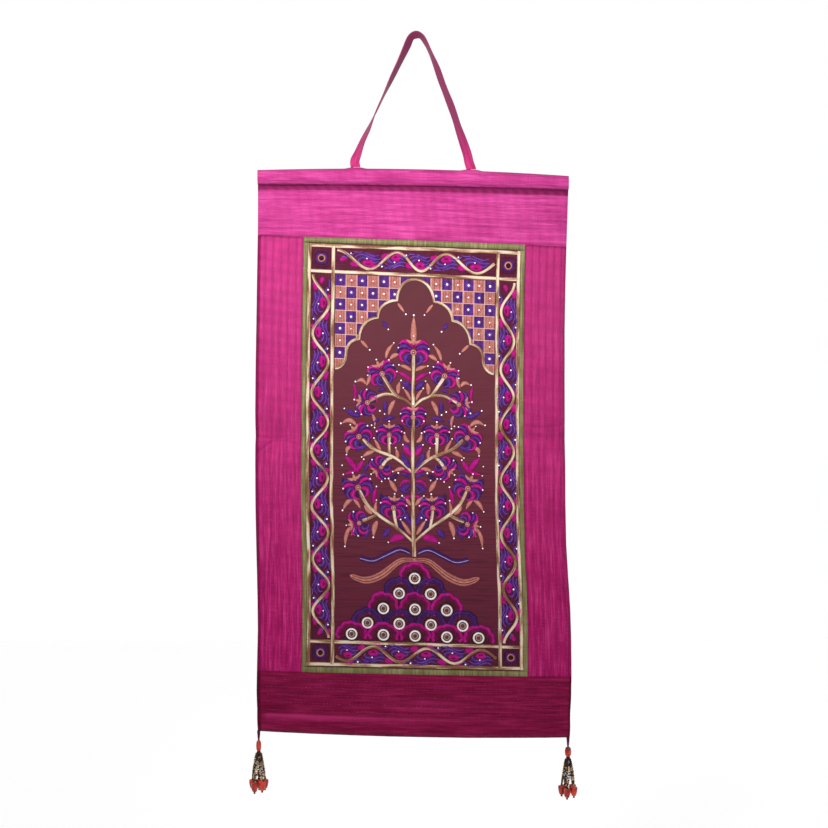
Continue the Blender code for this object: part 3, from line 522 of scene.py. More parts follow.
def sleeveOutline(way, seam, crease, end, roll, inset, firstAngle, rows, fold):
    # from the seam along the front to the crease, round the rolled sleeve and along the back to the seam
    back, sheet = sleeve["back"], sleeve["sheet"]
    line = [(0.0, z) for z in span(seam, crease - way * inset, sleeve["step"])]
    line += [(depth, crease + way * up) for depth, up in fold]
    line += [(sleeve["middle"] - sleeve["halfDepth"] * math.cos(t), end - way * roll + way * roll * math.sin(t))
             for t in np.radians(np.linspace(firstAngle, 90, 14))]
    line += [(back - 0.0026, end - way * 0.0008), (back - 0.0008, end - way * 0.0028)]
    line += [(back, z) for z in np.linspace(end - way * 0.0055, crease + way * 0.0060, 5)]
    line += [(back - 0.0004, crease + way * 0.0020), (sheet + 0.0003, crease - way * 0.0025)]
    return line + [(sheet, z) for z in np.linspace(crease - way * 0.0045, seam, rows)]


def sleevedBand(name, material):
    outline = sleeveOutline(*sleeve[name])
    goesUp, seam = sleeve[name][0] == 1, sleeve[name][1]
    points = np.array(outline if goesUp else outline[::-1])
    columns = span(-cloth["halfWidth"], cloth["halfWidth"], sleeve["column"])
    wide, tall = len(columns), len(points)
    mesh = uprightGrid(name, wide, tall)
    across = np.tile(columns, tall)
    depth, height = np.repeat(points, wide, axis=0).T
    onFront, rolled = np.abs(depth) < 1e-6, depth < -0.004
    edge = np.minimum(np.abs(height - seam), cloth["halfWidth"] - np.abs(across))
    depth = depth + onFront * (grooves(height, seam, across) + turnedEdge(edge))
    slack = 0.0006 * np.sin(across * 47 + 0.8) + 0.0004 * np.sin(across * 113 + 2.0)
    depth = depth + rolled * (slack + 0.0002 * np.sin(across * 330 + height * 700))
    setPlaces(mesh, hangPoints(np.column_stack((across, depth, height))))
    along = lengthAlong(points)
    vertexUv(mesh, "flat", np.column_stack((across, np.repeat(along, wide))))
    shade = onFront * furrows(height, seam)[1]
    if goesUp:
        # painted shadow: the hollow under the sleeve is in its shadow, and so is the sleeve's top; the stitch lines
        # get a little painted shade
        shade = 0.15 * shade + 1.1 * hump(height - cloth["topCrease"] + 0.0042, 0.0042, 4)
        shade = shade + 0.4 * smoothStep((height - cloth["sleeveTop"] + 0.0026) / 0.0020)
    else:
        # painted light and shade: the fold's ridge and a soft place over it get a painted highlight, the stitch lines
        # and the roll's underside get painted shade, and its hems are darker
        ridge = hump(height - cloth["bottomCrease"] + 0.0028, 0.0017)
        hem = 0.9 * smoothStep((quilt["hem"] - across - cloth["halfWidth"]) / 0.0008)
        hem = hem + 0.8 * smoothStep((across - cloth["halfWidth"] + 0.0034) / 0.0008)
        hem = np.maximum(hem, 0.8 * smoothStep((cloth["sleeveBottom"] + 0.0042 - height) / 0.0030))
        lit = smoothStep((across + 0.222) / 0.01) * (0.3 + 0.7 * smoothStep((0.04 - across) / 0.16))
        lit = lit * smoothStep((0.15 - across) / 0.06)
        paintedSheen = hump(across - 0.02, 0.06) * hump(height + 0.984, 0.009)
        shade = 0.25 * shade - ridge * lit - 0.16 * paintedSheen + hem
    keepValues(mesh, "furrow", shade)
    bm = bmesh.new()
    bm.from_mesh(mesh)
    bm.verts.ensure_lookup_table()
    rims = [bm.edges.get((bm.verts[i], bm.verts[i + 1])) for first in (0, wide * (tall - 1))
            for i in range(first, first + wide - 1)]
    bmesh.ops.bridge_loops(bm, edges=rims)
    bmesh.ops.holes_fill(bm, edges=[e for e in bm.edges if e.is_boundary], sides=0)
    bmesh.ops.triangulate(bm, faces=[f for f in bm.faces if len(f.verts) > 4])
    bmesh.ops.recalc_face_normals(bm, faces=bm.faces[:])
    bm.to_mesh(mesh)
    bm.free()
    piece = linked(mesh, material)
    mesh.set_sharp_from_angle(angle=math.radians(50))
    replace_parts(piece, name)
    return piece


topBand = sleevedBand("top_band", "rose")
bottomBand = sleevedBand("bottom_band", "plum")
print("sleeved bands hung")


# Stitch work: each thread colour gathers its shapes, which are then hung together

works = {}


def workFor(colour):
    return works.setdefault(colour, {"bm": bmesh.new(), "flat": [], "thread": [], "edge": []})


def domed(s):
    return np.sqrt(np.clip(1 - s * s, 0.0, 1.0))


def corded(s):
    return (1 - s**8) * (0.72 + 0.28 * np.cos(3 * math.pi * s))


def addPatch(colour, spine, widths, rise, across=6, profile=domed, slant=0.0, base=0.0, shade=0.8):
    # one band of stitches along a line, raised in its middle and sunk a hair into the cloth at its edges
    work = workFor(colour)
    points = np.array(spine, dtype=float)
    widths = np.broadcast_to(np.asarray(widths, dtype=float), (len(points),))
    ahead = np.gradient(points, axis=0)
    if np.allclose(points[0], points[-1]):
        ahead[0] = ahead[-1] = points[1] - points[-2]
    ahead /= np.maximum(np.hypot(ahead[:, 0], ahead[:, 1]), 1e-9)[:, None]
    side = np.column_stack((ahead[:, 1], -ahead[:, 0]))
    s = np.linspace(-1, 1, across + 1)
    offset = widths[:, None] / 2 * s[None, :]
    x = points[:, 0:1] + side[:, 0:1] * offset + panel["shift"]
    z = points[:, 1:2] + side[:, 1:2] * offset
    full = np.sqrt(np.clip(widths / max(widths.max(), 1e-9), 0.05, 1.0))
    depth = 0.00025 - base - (rise * full)[:, None] * profile(s)[None, :]
    along = lengthAlong(points)
    start = len(work["flat"]) * 0.0137
    bmesh.ops.create_grid(work["bm"], x_segments=across, y_segments=len(points) - 1, size=1.0,
                          matrix=Matrix.Rotation(math.radians(90), 4, "X"))
    work["flat"].append(np.column_stack((x.ravel(), depth.ravel(), z.ravel())))
    run = along[:, None] + slant * np.abs(offset) + start
    work["thread"].append(np.column_stack((run.ravel(), (offset + start).ravel())))
    # painted shade towards the shape's edges, which the finish mixes towards its deep colour
    work["edge"].append(np.tile(shade * np.abs(s) ** 3, len(points)))


def addRound(colour, across, height, radius, depth, tall, segments=8, rings=6):
    # a bead, or a flattened lens, that sits on the cloth
    work = workFor(colour)
    name = f"ball{segments}x{rings}"
    ball = bpy.data.meshes.get(name)
    if ball is None:
        ball = bpy.data.meshes.new(name)
        bm = bmesh.new()
        bmesh.ops.create_uvsphere(bm, u_segments=segments, v_segments=rings, radius=1.0)
        bm.to_mesh(ball)
        bm.free()
    work["bm"].from_mesh(ball)
    local = np.array([v.co for v in ball.vertices])
    places = local * (radius, tall, radius) + (across + panel["shift"], -depth, height)
    work["flat"].append(places)
    work["thread"].append(local[:, (0, 2)])
    work["edge"].append(np.zeros(len(local)))


def finishWork(colour, name, weld=True):
    work = works.pop(colour)
    mesh = bpy.data.meshes.new(name)
    work["bm"].to_mesh(mesh)
    work["bm"].free()
    setPlaces(mesh, hangPoints(np.concatenate(work["flat"])))
    vertexUv(mesh, "thread", np.concatenate(work["thread"]))
    keepValues(mesh, "edge", np.concatenate(work["edge"]))
    piece = linked(mesh, colour)
    if weld:
        bm = bmesh.new()
        bm.from_mesh(mesh)
        bmesh.ops.remove_doubles(bm, verts=bm.verts[:], dist=0.000004)
        bm.to_mesh(mesh)
        bm.free()
    print(name, "has", len(mesh.polygons), "faces")
    return piece


def curveThrough(points, pieces=6):
    # a smooth line through the points
    padded = np.array([points[0], *points, points[-1]], dtype=float)
    line = []
    for a, b, c, d in zip(padded, padded[1:], padded[2:], padded[3:]):
        for t in np.linspace(0, 1, pieces, endpoint=False):
            line.append(((-t**3 + 2 * t**2 - t) * a + (3 * t**3 - 5 * t**2 + 2) * b
                         + (-3 * t**3 + 4 * t**2 + t) * c + (t**3 - t**2) * d) / 2)
    line.append(padded[-1])
    return np.array(line)


def leafWidths(count, width, blunt, heel):
    t = np.linspace(0, 1, count)
    return np.maximum(width * np.sin(math.pi * t**heel) ** blunt, width * 0.06)


def addLeaf(colour, points, width, rise=0.0011, blunt=0.75, heel=0.85, **more):
    line = curveThrough(points, 5)
    addPatch(colour, line, leafWidths(len(line), width, blunt, heel), rise, **more)


def addStem(colour, points, width, rise, pieces=5, smooth=True, **more):
    line = curveThrough(points, pieces) if smooth else np.array(points, dtype=float)
    widths = np.full(len(line), width)
    widths[0] = widths[-1] = width * 0.45
    addPatch(colour, line, widths, rise, across=5, slant=0.9, **more)


def addRing(colour, across, height, radius, width, rise, base=0.0, count=26):
    turns = np.linspace(0, 2 * math.pi, count)
    circle = np.column_stack((across + radius * np.cos(turns), height - radius * np.sin(turns)))
    addPatch(colour, circle, width, rise, across=6, base=base)


# Braid: the lattice, the vines, the niche and the tree's wood

lattice = {
    "outer": 0.1549, "inner": 0.1219, "innerShift": 0.0019, "top": -0.3138, "innerTop": -0.3518,
    "innerLow": -0.8933, "low": -0.9257, "width": 0.0055, "step": 0.003,
}
vine = {
    "width": 0.0046, "rise": 0.0013,
    # waves, the half turns it starts at, and its waves' drift along as a share of its length, in half turns
    "rows": {
        "vine_top": (2.775, 0.0, 0.025, 2),
        "vine_bottom": (2.97, 0.62, 0.0, 1),
        "vine_left": (6.5, 0.0, 0.0163, 1),
        "vine_right": (6.5, 0.0, 0.0163, 1),
    },
}
niche = {
    "foot": (0.1173, -0.4925),
    # its waist, its cusps and its peak, as half widths and heights
    "cusps": ((0.1012, -0.4700), (0.0825, -0.4492), (0.0556, -0.4163), (0.0272, -0.3900), (0.0, -0.3578)),
}


def addBraid(points, width, rise=0.0012, base=0.0, across=14):
    addPatch("zari", points, width, rise, across=across, profile=corded, base=base)


def straight(start, end, wander=0.00025, seed=0.0):
    # a braid sewn down by hand wanders a little off its line
    length = math.dist(start, end)
    t = np.linspace(0, 1, max(2, round(length / lattice["step"])))
    line = np.outer(1 - t, start) + np.outer(t, end)
    side = np.array([end[1] - start[1], start[0] - end[0]]) / length
    swing = wander * (np.sin(t * length * 71 + seed) + 0.6 * np.sin(t * length * 163 + seed * 2))
    return line + np.outer(swing * np.sin(math.pi * t) ** 0.3, side)


half = lattice["width"] / 2
for order, side in enumerate((-1, 1)):
    line = side * lattice["inner"] + lattice["innerShift"]
    addBraid(straight((line, lattice["low"]), (line, lattice["top"]), seed=order), lattice["width"], base=0.0004)
    addBraid(straight((side * lattice["outer"], lattice["low"] - half), (side * lattice["outer"],
                      lattice["top"] + half), seed=order + 2.1), lattice["width"], base=0.0002)
for order, level in enumerate((lattice["top"], lattice["innerTop"], lattice["innerLow"], lattice["low"])):
    addBraid(straight((-lattice["outer"] - half, level), (lattice["outer"] + half, level), seed=order + 4.0),
             lattice["width"])
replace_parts(finishWork("zari", "zariLattice", weld=False), "braid_frame")


def wavePoints(name, length, swing):
    waves, start, drift, halfTurns = vine["rows"][name]
    t = np.linspace(0, 1, round(waves * 26))
    along = length * (t + drift * np.sin(math.pi * halfTurns * t))
    return along, swing * np.cos(math.pi * (2 * waves * t + start))


clear = half + gap
levelLength = 2 * (lattice["inner"] - clear) - vine["width"]
vineTop = lattice["innerTop"] - clear - vine["width"] / 2
uprightLength = vineTop - lattice["innerLow"] - clear - vine["width"] / 2
vineLines, vineMiddles = {}, {}
for name, upper, lower in (
    ("vine_top", lattice["top"], lattice["innerTop"]),
    ("vine_bottom", lattice["innerLow"], lattice["low"]),
):
    along, off = wavePoints(name, levelLength, (upper - lower) / 2 - clear - vine["width"] / 2 - gap)
    vineMiddles[name] = (upper + lower) / 2
    vineLines[name] = np.column_stack((lattice["innerShift"] - levelLength / 2 + along, vineMiddles[name] + off))
for name, side in (("vine_left", -1), ("vine_right", 1)):
    inner = lattice["inner"] + side * lattice["innerShift"]
    along, off = wavePoints(name, uprightLength, (lattice["outer"] - inner) / 2 - clear - vine["width"] / 2 - gap)
    vineMiddles[name] = side * (lattice["outer"] + inner) / 2
    vineLines[name] = np.column_stack((vineMiddles[name] + side * off, vineTop - along))
for points in vineLines.values():
    addBraid(points, vine["width"], vine["rise"], base=0.0003, across=12)
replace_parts(finishWork("zari", "zariVines", weld=False), *vineLines)


def nicheHalf():
    (x0, z0), (x1, z1) = niche["foot"], niche["cusps"][0]
    turns = np.linspace(0, math.pi / 2, 8)
    points = [(x0 + (x1 - x0) * math.sin(t), z0 + (z1 - z0) * (1 - math.cos(t))) for t in turns]
    for (x0, z0), (x1, z1) in zip(niche["cusps"], niche["cusps"][1:]):
        points += [(x1 + (x0 - x1) * math.cos(t), z0 + (z1 - z0) * math.sin(t)) for t in turns[1:]]
    return points


nicheRight = nicheHalf()
nicheLine = [(-x, z) for x, z in nicheRight] + [(x, z) for x, z in reversed(nicheRight[:-1])]
nicheLine = [(x + lattice["innerShift"], z) for x, z in nicheLine]
addBraid(nicheLine, vine["width"], vine["rise"], base=0.0004, across=12)
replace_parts(finishWork("zari", "zariNiche", weld=False), "arch_braid")

tree = {
    "foot": -0.7650, "top": -0.4680, "trunkWidth": 0.0062, "limbWidth": 0.0048,
    # the right half's limbs, each from its root outwards
    "limbs": (
        ((0, -5450), (120, -5350), (260, -5285), (380, -5120), (450, -5010)),
        ((230, -5300), (400, -5275), (540, -5320), (650, -5380)),
        ((0, -6430), (130, -6300), (300, -6185), (580, -6075), (740, -5930)),
        ((345, -6160), (355, -6000), (352, -5880)), ((290, -6190), (380, -6235), (450, -6320)),
        ((0, -7450), (220, -7250), (500, -7055), (680, -6890), (790, -6680)),
        ((240, -7235), (270, -7100), (285, -6970)), ((530, -7035), (640, -7090), (750, -7130)),
    ),
    # flowers of the right half: across, height, lean from upright in degrees, size, and which thread comes first
    "flowers": (
        (0, -4655, 0, 1.08, 0), (462, -4985, 23, 0.98, 0), (675, -5405, 78, 0.88, 1), (0, -5605, 0, 0.88, 0),
        (800, -5900, 36, 0.95, 0), (352, -5868, 0, 0.88, 1), (467, -6343, 125, 0.8, 0), (808, -6645, 20, 1.02, 1),
        (291, -6937, -6, 0.92, 1), (798, -7168, 100, 0.86, 0),
    ),
    # single leaves of the right half in millimetres: thread, foot, tip, width, bend to the left, and whether a bead
    # sits at the tip
    "leaves": (
        ("coral", 41, -476, 30, -454, 6, -2, 1), ("coral", 22, -469, 35, -477, 7, 1.5, 1),
        ("coral", 3, -492, 20, -485, 6.5, 1, 1), ("magenta", 3, -507, 23, -495, 7, 1.5, 1),
        ("purple", 3, -521, 17, -508, 9.5, 1, 1), ("coral", 22, -527, 20, -509, 7, -1, 0),
        ("coral", 4, -536, 14, -519, 5.5, 1, 1), ("coral", 27, -536, 36, -558, 7.5, 1.5, 0),
        ("purple", 41, -537, 42, -555, 7, 0, 1), ("coral", 69, -516, 67, -491, 6, 2.5, 1),
        ("coral", 70, -514, 84, -511, 6.5, 4, 1), ("magenta", 88, -514, 88, -541, 5, -2.5, 0),
        ("coral", 78, -540, 84, -552, 6, -1, 1), ("purple", 78, -560, 100, -550, 8, -1.5, 1),
        ("coral", 84, -573, 105, -571, 7.5, 5, 1), ("coral", 60, -557, 57, -575, 5.5, -1.5, 1),
        ("purple", 50, -563, 60, -572, 6, 1, 1), ("coral", 5, -597, 12, -585, 6.5, -2.5, 1),
        ("magenta", 3, -617, 14, -602, 9.5, 0, 1), ("purple", 4, -636, 17, -612, 9, -1, 0),
        ("coral", 23, -622, 25, -607, 6, 1, 1), ("coral", 47, -611, 57, -593, 5.5, 0, 1),
        ("coral", 57, -611, 74, -619, 7, 1, 1), ("purple", 66, -602, 84, -611, 7.5, 1, 0),
        ("coral", 90, -604, 97, -615, 6.5, 3, 1), ("magenta", 83, -640, 99, -619, 9.5, 1, 0),
        ("magenta", 83, -641, 73, -624, 8, 0, 1), ("magenta", 84, -640, 101, -645, 6, 0, 1),
        ("purple", 72, -640, 64, -628, 6, 0, 0), ("coral", 12, -636, 28, -640, 6.5, 1, 1),
        ("magenta", 4, -643, 20, -637, 5, 1, 0), ("purple", 3, -650, 20, -643, 5.5, 1.5, 1),
        ("purple", 4, -660, 17, -670, 9, 1.5, 0), ("magenta", 3, -655, 20, -663, 5, 4, 0),
        ("coral", 24, -670, 35, -652, 7.5, 0, 1), ("coral", 3, -690, 15, -677, 6.5, 0.5, 1),
        ("magenta", 58, -688, 54, -664, 7, -1, 1), ("coral", 55, -703, 54, -684, 5.5, -1, 1),
        ("coral", 88, -680, 103, -697, 7, 2, 1), ("coral", 88, -681, 78, -695, 6, -1, 0),
        ("coral", 60, -703, 72, -690, 7, -1, 0), ("coral", 53, -713, 59, -736, 8.5, 1.5, 1),
        ("purple", 35, -724, 46, -738, 9, 0, 0), ("coral", 4, -733, 18, -712, 6.5, 0, 1),
        ("purple", 4, -719, 12, -696, 8.5, -1, 0), ("magenta", 13, -737, 36, -744, 12, 2.5, 1),
        ("coral", 93, -722, 101, -750, 6.5, 2, 1), ("coral", 88, -722, 92, -735, 6, -1, 0),
        ("purple", 20, -700, 14, -712, 6, 0, 0), ("purple", 27, -561, 46, -567, 6.5, 1.5, 0),
        ("dusk", 21, -571, 12, -580, 6, 1, 0), ("purple", 4, -607, 15, -600, 5.5, 0.5, 0),
        ("dusk", 56, -620, 66, -634, 6.5, 1, 0), ("dusk", 22, -645, 34, -655, 6.5, 1, 0),
        ("purple", 4, -672, 22, -664, 6.5, -1, 0), ("magenta", 3, -676, 16, -686, 6, 1.5, 0),
        ("dusk", 47, -672, 42, -690, 6.5, 1, 0), ("dusk", 24, -712, 12, -728, 6.5, 0.5, 0),
        ("purple", 62, -724, 72, -740, 6, 1, 0), ("dusk", 104, -650, 96, -662, 6, 1, 0),
        ("purple", 40, -520, 52, -524, 5, 1, 0),
    ),
    # white seed beads of the right half by themselves, in millimetres
    "seeds": ((49, -552), (33, -599), (26, -653), (46, -655), (104, -632), (12, -708), (16, -566)),
}
trunkLine = straight((0.0, tree["foot"]), (0.0, tree["top"]), 0.0002, 1.0)
addBraid(trunkLine, np.linspace(tree["trunkWidth"], tree["trunkWidth"] - 0.0012, len(trunkLine)), 0.0017,
         base=0.0004)
for side in (-1, 1):
    for limb in tree["limbs"]:
        line = curveThrough(metres(limb) * (side, 1))
        widths = np.linspace(tree["limbWidth"] * 0.85, tree["limbWidth"] * 1.2, len(line))
        widths[-2:] *= (0.9, 0.6)
        addBraid(line, widths, 0.0014, base=0.0003, across=12)
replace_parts(finishWork("zari", "zariTree", weld=False), "tree_braid")
print("braid laid")


# Flowers and leaves of the tree

flower = {
    "ringRadius": 0.0031, "ringWidth": 0.0026, "seedRadius": 0.0016,
    # the thread's turn, width, and the right half's points in millimetres from the ring's middle
    "petals": (
        (2, 5.4, ((2.0, -6.0), (5.0, -9.5), (5.0, -14.5))),
        (2, 5.0, ((12.0, 1.0), (18.0, 3.0), (22.0, -1.5))),
        (1, 6.8, ((2.5, -2.4), (8.4, -3.4), (11.4, -8.6), (8.4, -14.0), (3.6, -16.0))),
        (0, 6.2, ((3.2, 0.8), (11.6, 2.2), (17.6, -2.4), (17.4, -9.4), (12.4, -13.0))),
        (1, 6.6, ((3.0, 3.6), (9.6, 8.0), (16.8, 8.0), (22.2, 3.0))),
        (0, 6.2, ((1.0, 7.4), (7.0, 13.6), (14.4, 14.8), (20.4, 10.4))),
    ),
    # the coral leaves over its ring: width and points
    "crown": ((6.2, ((0.0, 10.0), (0.0, 14.5), (0.0, 20.5))), (5.2, ((0.6, 14.2), (4.6, 13.8), (10.2, 17.4)))),
    # a dark patch of painted shade that shows between its petals: half width, height, and how far up it lies
    "bed": (19.0, 25.0, -0.5),
    "seeds": ((20.8, 5.8),), "topSeed": (0, 22.5),
}

seedDraw = random.Random(11)


def addSeed(across, height, radius=0.0012):
    addRound("pearl", across, height, radius * seedDraw.uniform(0.9, 1.1), depth=0.0011, tall=radius * 0.9)


def addFlower(across, height, lean, size, order):
    turn = math.radians(-lean)
    cos, sin = math.cos(turn), math.sin(turn)

    def placed(points, side):
        out = []
        for x, z in points:
            x, z = x * side * size * millimetre, z * size * millimetre
            out.append((across + x * cos - z * sin, height + x * sin + z * cos))
        return out

    reach, tall, up = flower["bed"]
    # painted shade: a dark patch behind the petals, where shade falls between them
    addLeaf("bed", placed([(-reach, up + 2), (-reach / 2, up), (reach / 2, up), (reach, up + 2)], 1),
            tall * size * millimetre, rise=0.0003, blunt=0.5, heel=1.0, base=-0.0001, across=10, shade=0.0)
    for side in (-1, 1):
        for layer, (turned, width, points) in enumerate(flower["petals"]):
            colour, shine = (("magenta", "blush"), ("purple", "lilac"))[(turned + order) % 2]
            line = placed(points, side)
            if turned == 2:
                addLeaf("dusk", line, width * size * millimetre, blunt=0.6)
                continue
            addLeaf(colour, line, width * size * millimetre, blunt=0.6, base=0.0002 * layer)
            # painted highlight: a lighter line of the shine thread along each petal
            addStem(shine, line[1:], 0.0008, 0.0006, base=0.0008 + 0.0002 * layer)
        for x, z in flower["seeds"]:
            addSeed(*placed([(x, z)], side)[0])
        for width, points in flower["crown"]:
            addLeaf("coral", placed(points, side), width * size * millimetre, base=0.0013)
    addSeed(*placed([flower["topSeed"]], 1)[0])
    addRing("coral", across, height, flower["ringRadius"] * size, flower["ringWidth"] * size, 0.0016, base=0.0006,
            count=18)
    addRound("cream", across, height, flower["seedRadius"], depth=0.0014, tall=0.0012)


for across, height, lean, size, order in tree["flowers"]:
    for side in (-1, 1) if across else (1,):
        addFlower(side * across / 10000, height / 10000, side * lean, size, order)
for side in (-1, 1):
    for colour, x0, z0, x1, z1, width, bend, seeded in tree["leaves"]:
        foot, tip = np.array(((side * x0, z0), (side * x1, z1))) * millimetre
        length = max(np.hypot(*(tip - foot)), 1e-9)
        bow = side * np.array((foot[1] - tip[1], tip[0] - foot[0])) / length * bend * millimetre
        addLeaf(colour, [foot, (foot * 2 + tip) / 3 + bow, (foot + tip * 2) / 3 + bow, tip],
                width * millimetre, rise=0.0013, base=seedDraw.uniform(0.0, 0.0005))
        if seeded:
            addSeed(*(tip + (tip - foot) / length * 0.0015))
    for x, z in tree["seeds"]:
        addSeed(side * x * millimetre, z * millimetre)
# the tall bud on top of the tree, outlined and filled
addLeaf("coral", [(0, -0.455), (0, -0.436), (0, -0.413)], 0.0098, rise=0.0018, base=0.0004)
addSeed(0.0, -0.4108, 0.0018)
print("tree worked")


# Under the tree: two pairs of waves

waves = {
    "upper": ((60, -7605), (215, -7555), (420, -7645), (610, -7725), (800, -7690)),
    "lower": ((0, -7700), (215, -7725), (490, -7935), (720, -8015), (950, -7945)),
}
for side in (-1, 1):
    upper, lower = (metres(waves[name]) * (side, 1) for name in ("upper", "lower"))
    addStem("dusk", upper + (0.0, 0.0008), 0.0092, 0.0009, 8)
    addStem("mauve", upper, 0.0018, 0.0010, 8, base=0.0007)
    lower = curveThrough(lower, 9)
    swell = 0.0068 + 0.0052 * np.sin(np.linspace(0.0, math.pi, len(lower)) * 0.85) ** 2
    swell[-4:] *= (0.93, 0.82, 0.6, 0.3)
    addPatch("coral", lower, swell, 0.0014, across=14, profile=corded)
    for share in (-0.167, 0.167):
        # the dark lines between its three ropes
        ahead = np.gradient(lower, axis=0)
        ahead /= np.hypot(*ahead.T)[:, None]
        line = lower + np.column_stack((ahead[:, 1], -ahead[:, 0])) * (swell * share)[:, None]
        addStem("wineCoral", line[1:-2], 0.0014, 0.0005, 1, smooth=False, base=0.0008)

# The mound: mirrors in rows, each under a fan of stitches, the lower rows laid over the upper ones

mound = {
    # how many mirrors, their height, and how far their fans reach up
    "rows": ((1, -0.7970, 0.0238), (2, -0.8195, 0.0246), (3, -0.8425, 0.0250), (4, -0.8642, 0.0222),
             (5, -0.8811, 0.0180)),
    "pitch": 0.0462, "glass": 0.0050, "reach": 0.0226,
    # a fan's first and last angle in degrees, and its steps
    "fan": (-24, 204, 38),
    # the rings round each mirror: thread, radius, width, rise, and how far they are lifted. The outer brown ring is
    # painted shade, the dark halo round the white ring
    "rings": (("brown", 0.0093, 0.0022, 0.0005, 0.0016), ("white", 0.0071, 0.0032, 0.0015, 0.0018),
              ("brown", 0.0052, 0.0011, 0.0008, 0.0018)),
    # each band of a fan: its place as a share of the fan's reach, its width, and its thread among the row's three
    "bands": ((0.36, 0.0056, 2), (0.56, 0.0058, 2), (0.74, 0.0062, 1), (0.91, 0.0060, 0)),
    # half width and height of the dark stitches under them all, from the foot up
    "bed": ((0.1150, 0.0), (0.1050, 0.0120), (0.0700, 0.0500), (0.0340, 0.0930), (0.0150, 0.1130)),
    "threads": (("magenta", "wine", "bed"), ("dusk", "dusk", "bed")),
}
floorHeight = lattice["innerLow"] + half
addPatch("bed", [(0.0, floorHeight + up) for _, up in mound["bed"]], [2 * reach for reach, _ in mound["bed"]], 0.0004,
         across=30, profile=np.ones_like, shade=0.0)
mirrorNumber = 0
for level, (count, height, tall) in enumerate(mound["rows"]):
    threads = mound["threads"][level % 2]
    for i in range(count):
        mirrorNumber += 1
        across = (i - (count - 1) / 2) * mound["pitch"]
        for place, width, turn in mound["bands"]:
            turns = np.radians(np.linspace(*mound["fan"]))
            wave = 0.04 * np.sin(turns * 5 + mirrorNumber) + 0.035 * np.sin(turns * 11 + mirrorNumber * 2)
            ragged = place * (1 + wave)
            fan = np.column_stack((across + mound["reach"] * ragged * np.cos(turns),
                                   height + tall * ragged * np.sin(turns)))
            fan = fan[fan[:, 1] > floorHeight + 0.0012]
            addPatch(threads[turn], fan[::-1], width, 0.0011, across=5, base=0.0003 * level + 0.0001 * (3 - turn))
            if turn == 0:
                inner = np.array((across, height)) + (fan - (across, height)) * 0.97
                addPatch("magenta" if level % 2 == 0 else "purple", inner[::-1], 0.0014, 0.0006, across=3,
                         base=0.0010 + 0.0003 * level)
        for thread, radius, width, rise, lift in mound["rings"]:
            addRing(thread, across, height, radius, width, rise, base=lift)
        addRound("mirror", across, height, mound["glass"], depth=0.0017, tall=0.0008, segments=20, rings=8)

# Corner squares: a stitched ring in a rounded square of close stitching

corners = {
    "upper": (lattice["top"] + lattice["innerTop"]) / 2, "lower": (lattice["low"] + lattice["innerLow"]) / 2,
    "bands": ((0.0064, "purple"), (0.0084, "dusk"), (0.0104, "bed"), (0.0124, "bed")), "ring": 0.0047, "steps": 34,
}


def squircle(across, height, radius):
    turns = np.linspace(0, 2 * math.pi, corners["steps"])
    reach = radius / (np.abs(np.cos(turns)) ** 4 + np.abs(np.sin(turns)) ** 4) ** 0.25
    return np.column_stack((across + reach * np.cos(turns), height - reach * np.sin(turns)))


for side in (-1, 1):
    across = (side * (lattice["outer"] + lattice["inner"]) + lattice["innerShift"]) / 2
    for height in (corners["upper"], corners["lower"]):
        for radius, thread in corners["bands"]:
            addPatch(thread, squircle(across, height, radius), 0.0021, 0.0008, across=5)
        addRing("coral", across, height, corners["ring"], 0.0026, 0.0015, base=0.0004)
        addRound("brown", across, height, 0.0032, depth=0.0003, tall=0.0006)
print("mound and corners worked")

# Spandrels: a chequer of satin squares with a seed bead on each, cut off by the niche

chequer = {"pitch": 0.0160, "rise": 0.0177, "columns": 7, "levels": 8, "side": 0.0148, "tall": 0.0164}
nicheEdge = np.array(nicheRight)
startAcross, startHeight = lattice["inner"] - half - 0.0004, lattice["innerTop"] - half - 0.0004


def spandrelRuns(line, margin, side):
    # the stretches of a line that lie in the spandrel, above the niche's edge by at least the margin
    runs = [[]]
    for a, b in line:
        x, z = side * (startAcross - a), startHeight - b
        if z > np.interp(-abs(x), -nicheEdge[:, 0], nicheEdge[:, 1]) + margin:
            runs[-1].append((x + lattice["innerShift"], z))
        else:
            runs.append([])
    return [run for run in runs if len(run) > 2]


deep = chequer["levels"] * chequer["rise"]
for side in (-1, 1):
    for column in range(chequer["columns"]):
        for level in range(chequer["levels"]):
            x, z = (column + 0.5) * chequer["pitch"], (level + 0.5) * chequer["rise"]
            colour = "purple" if (column + level) % 2 == 0 else "coral"
            for share in np.linspace(-0.42, 0.42, 6):
                # upright rows of satin fill the square
                rows = np.linspace(z - chequer["tall"] / 2, z + chequer["tall"] / 2, 9)
                for run in spandrelRuns([(x + share * chequer["side"], row) for row in rows], 0.0005, side):
                    addPatch(colour, run, chequer["side"] / 5.8, 0.0008, across=4, shade=0.2)
            for run in spandrelRuns([(x, z)] * 3, 0.0030, side):
                addSeed(*run[0], 0.0017 if colour == "purple" else 0.0013)
                addRing("lilac" if colour == "purple" else "coral", *run[0], 0.0028, 0.0013, 0.0011, base=0.0004,
                        count=14)
    seams = [[(i * chequer["pitch"], b) for b in np.linspace(0, deep, 60)] for i in range(1, chequer["columns"])]
    seams += [[(a, i * chequer["rise"]) for a in np.linspace(0, startAcross, 60)]
              for i in range(1, chequer["levels"])]
    for seam in seams:
        for run in spandrelRuns(seam, 0.0010, side):
            addStem("cream", run, 0.0016, 0.0011, smooth=False, base=0.0001)
print("spandrels worked")

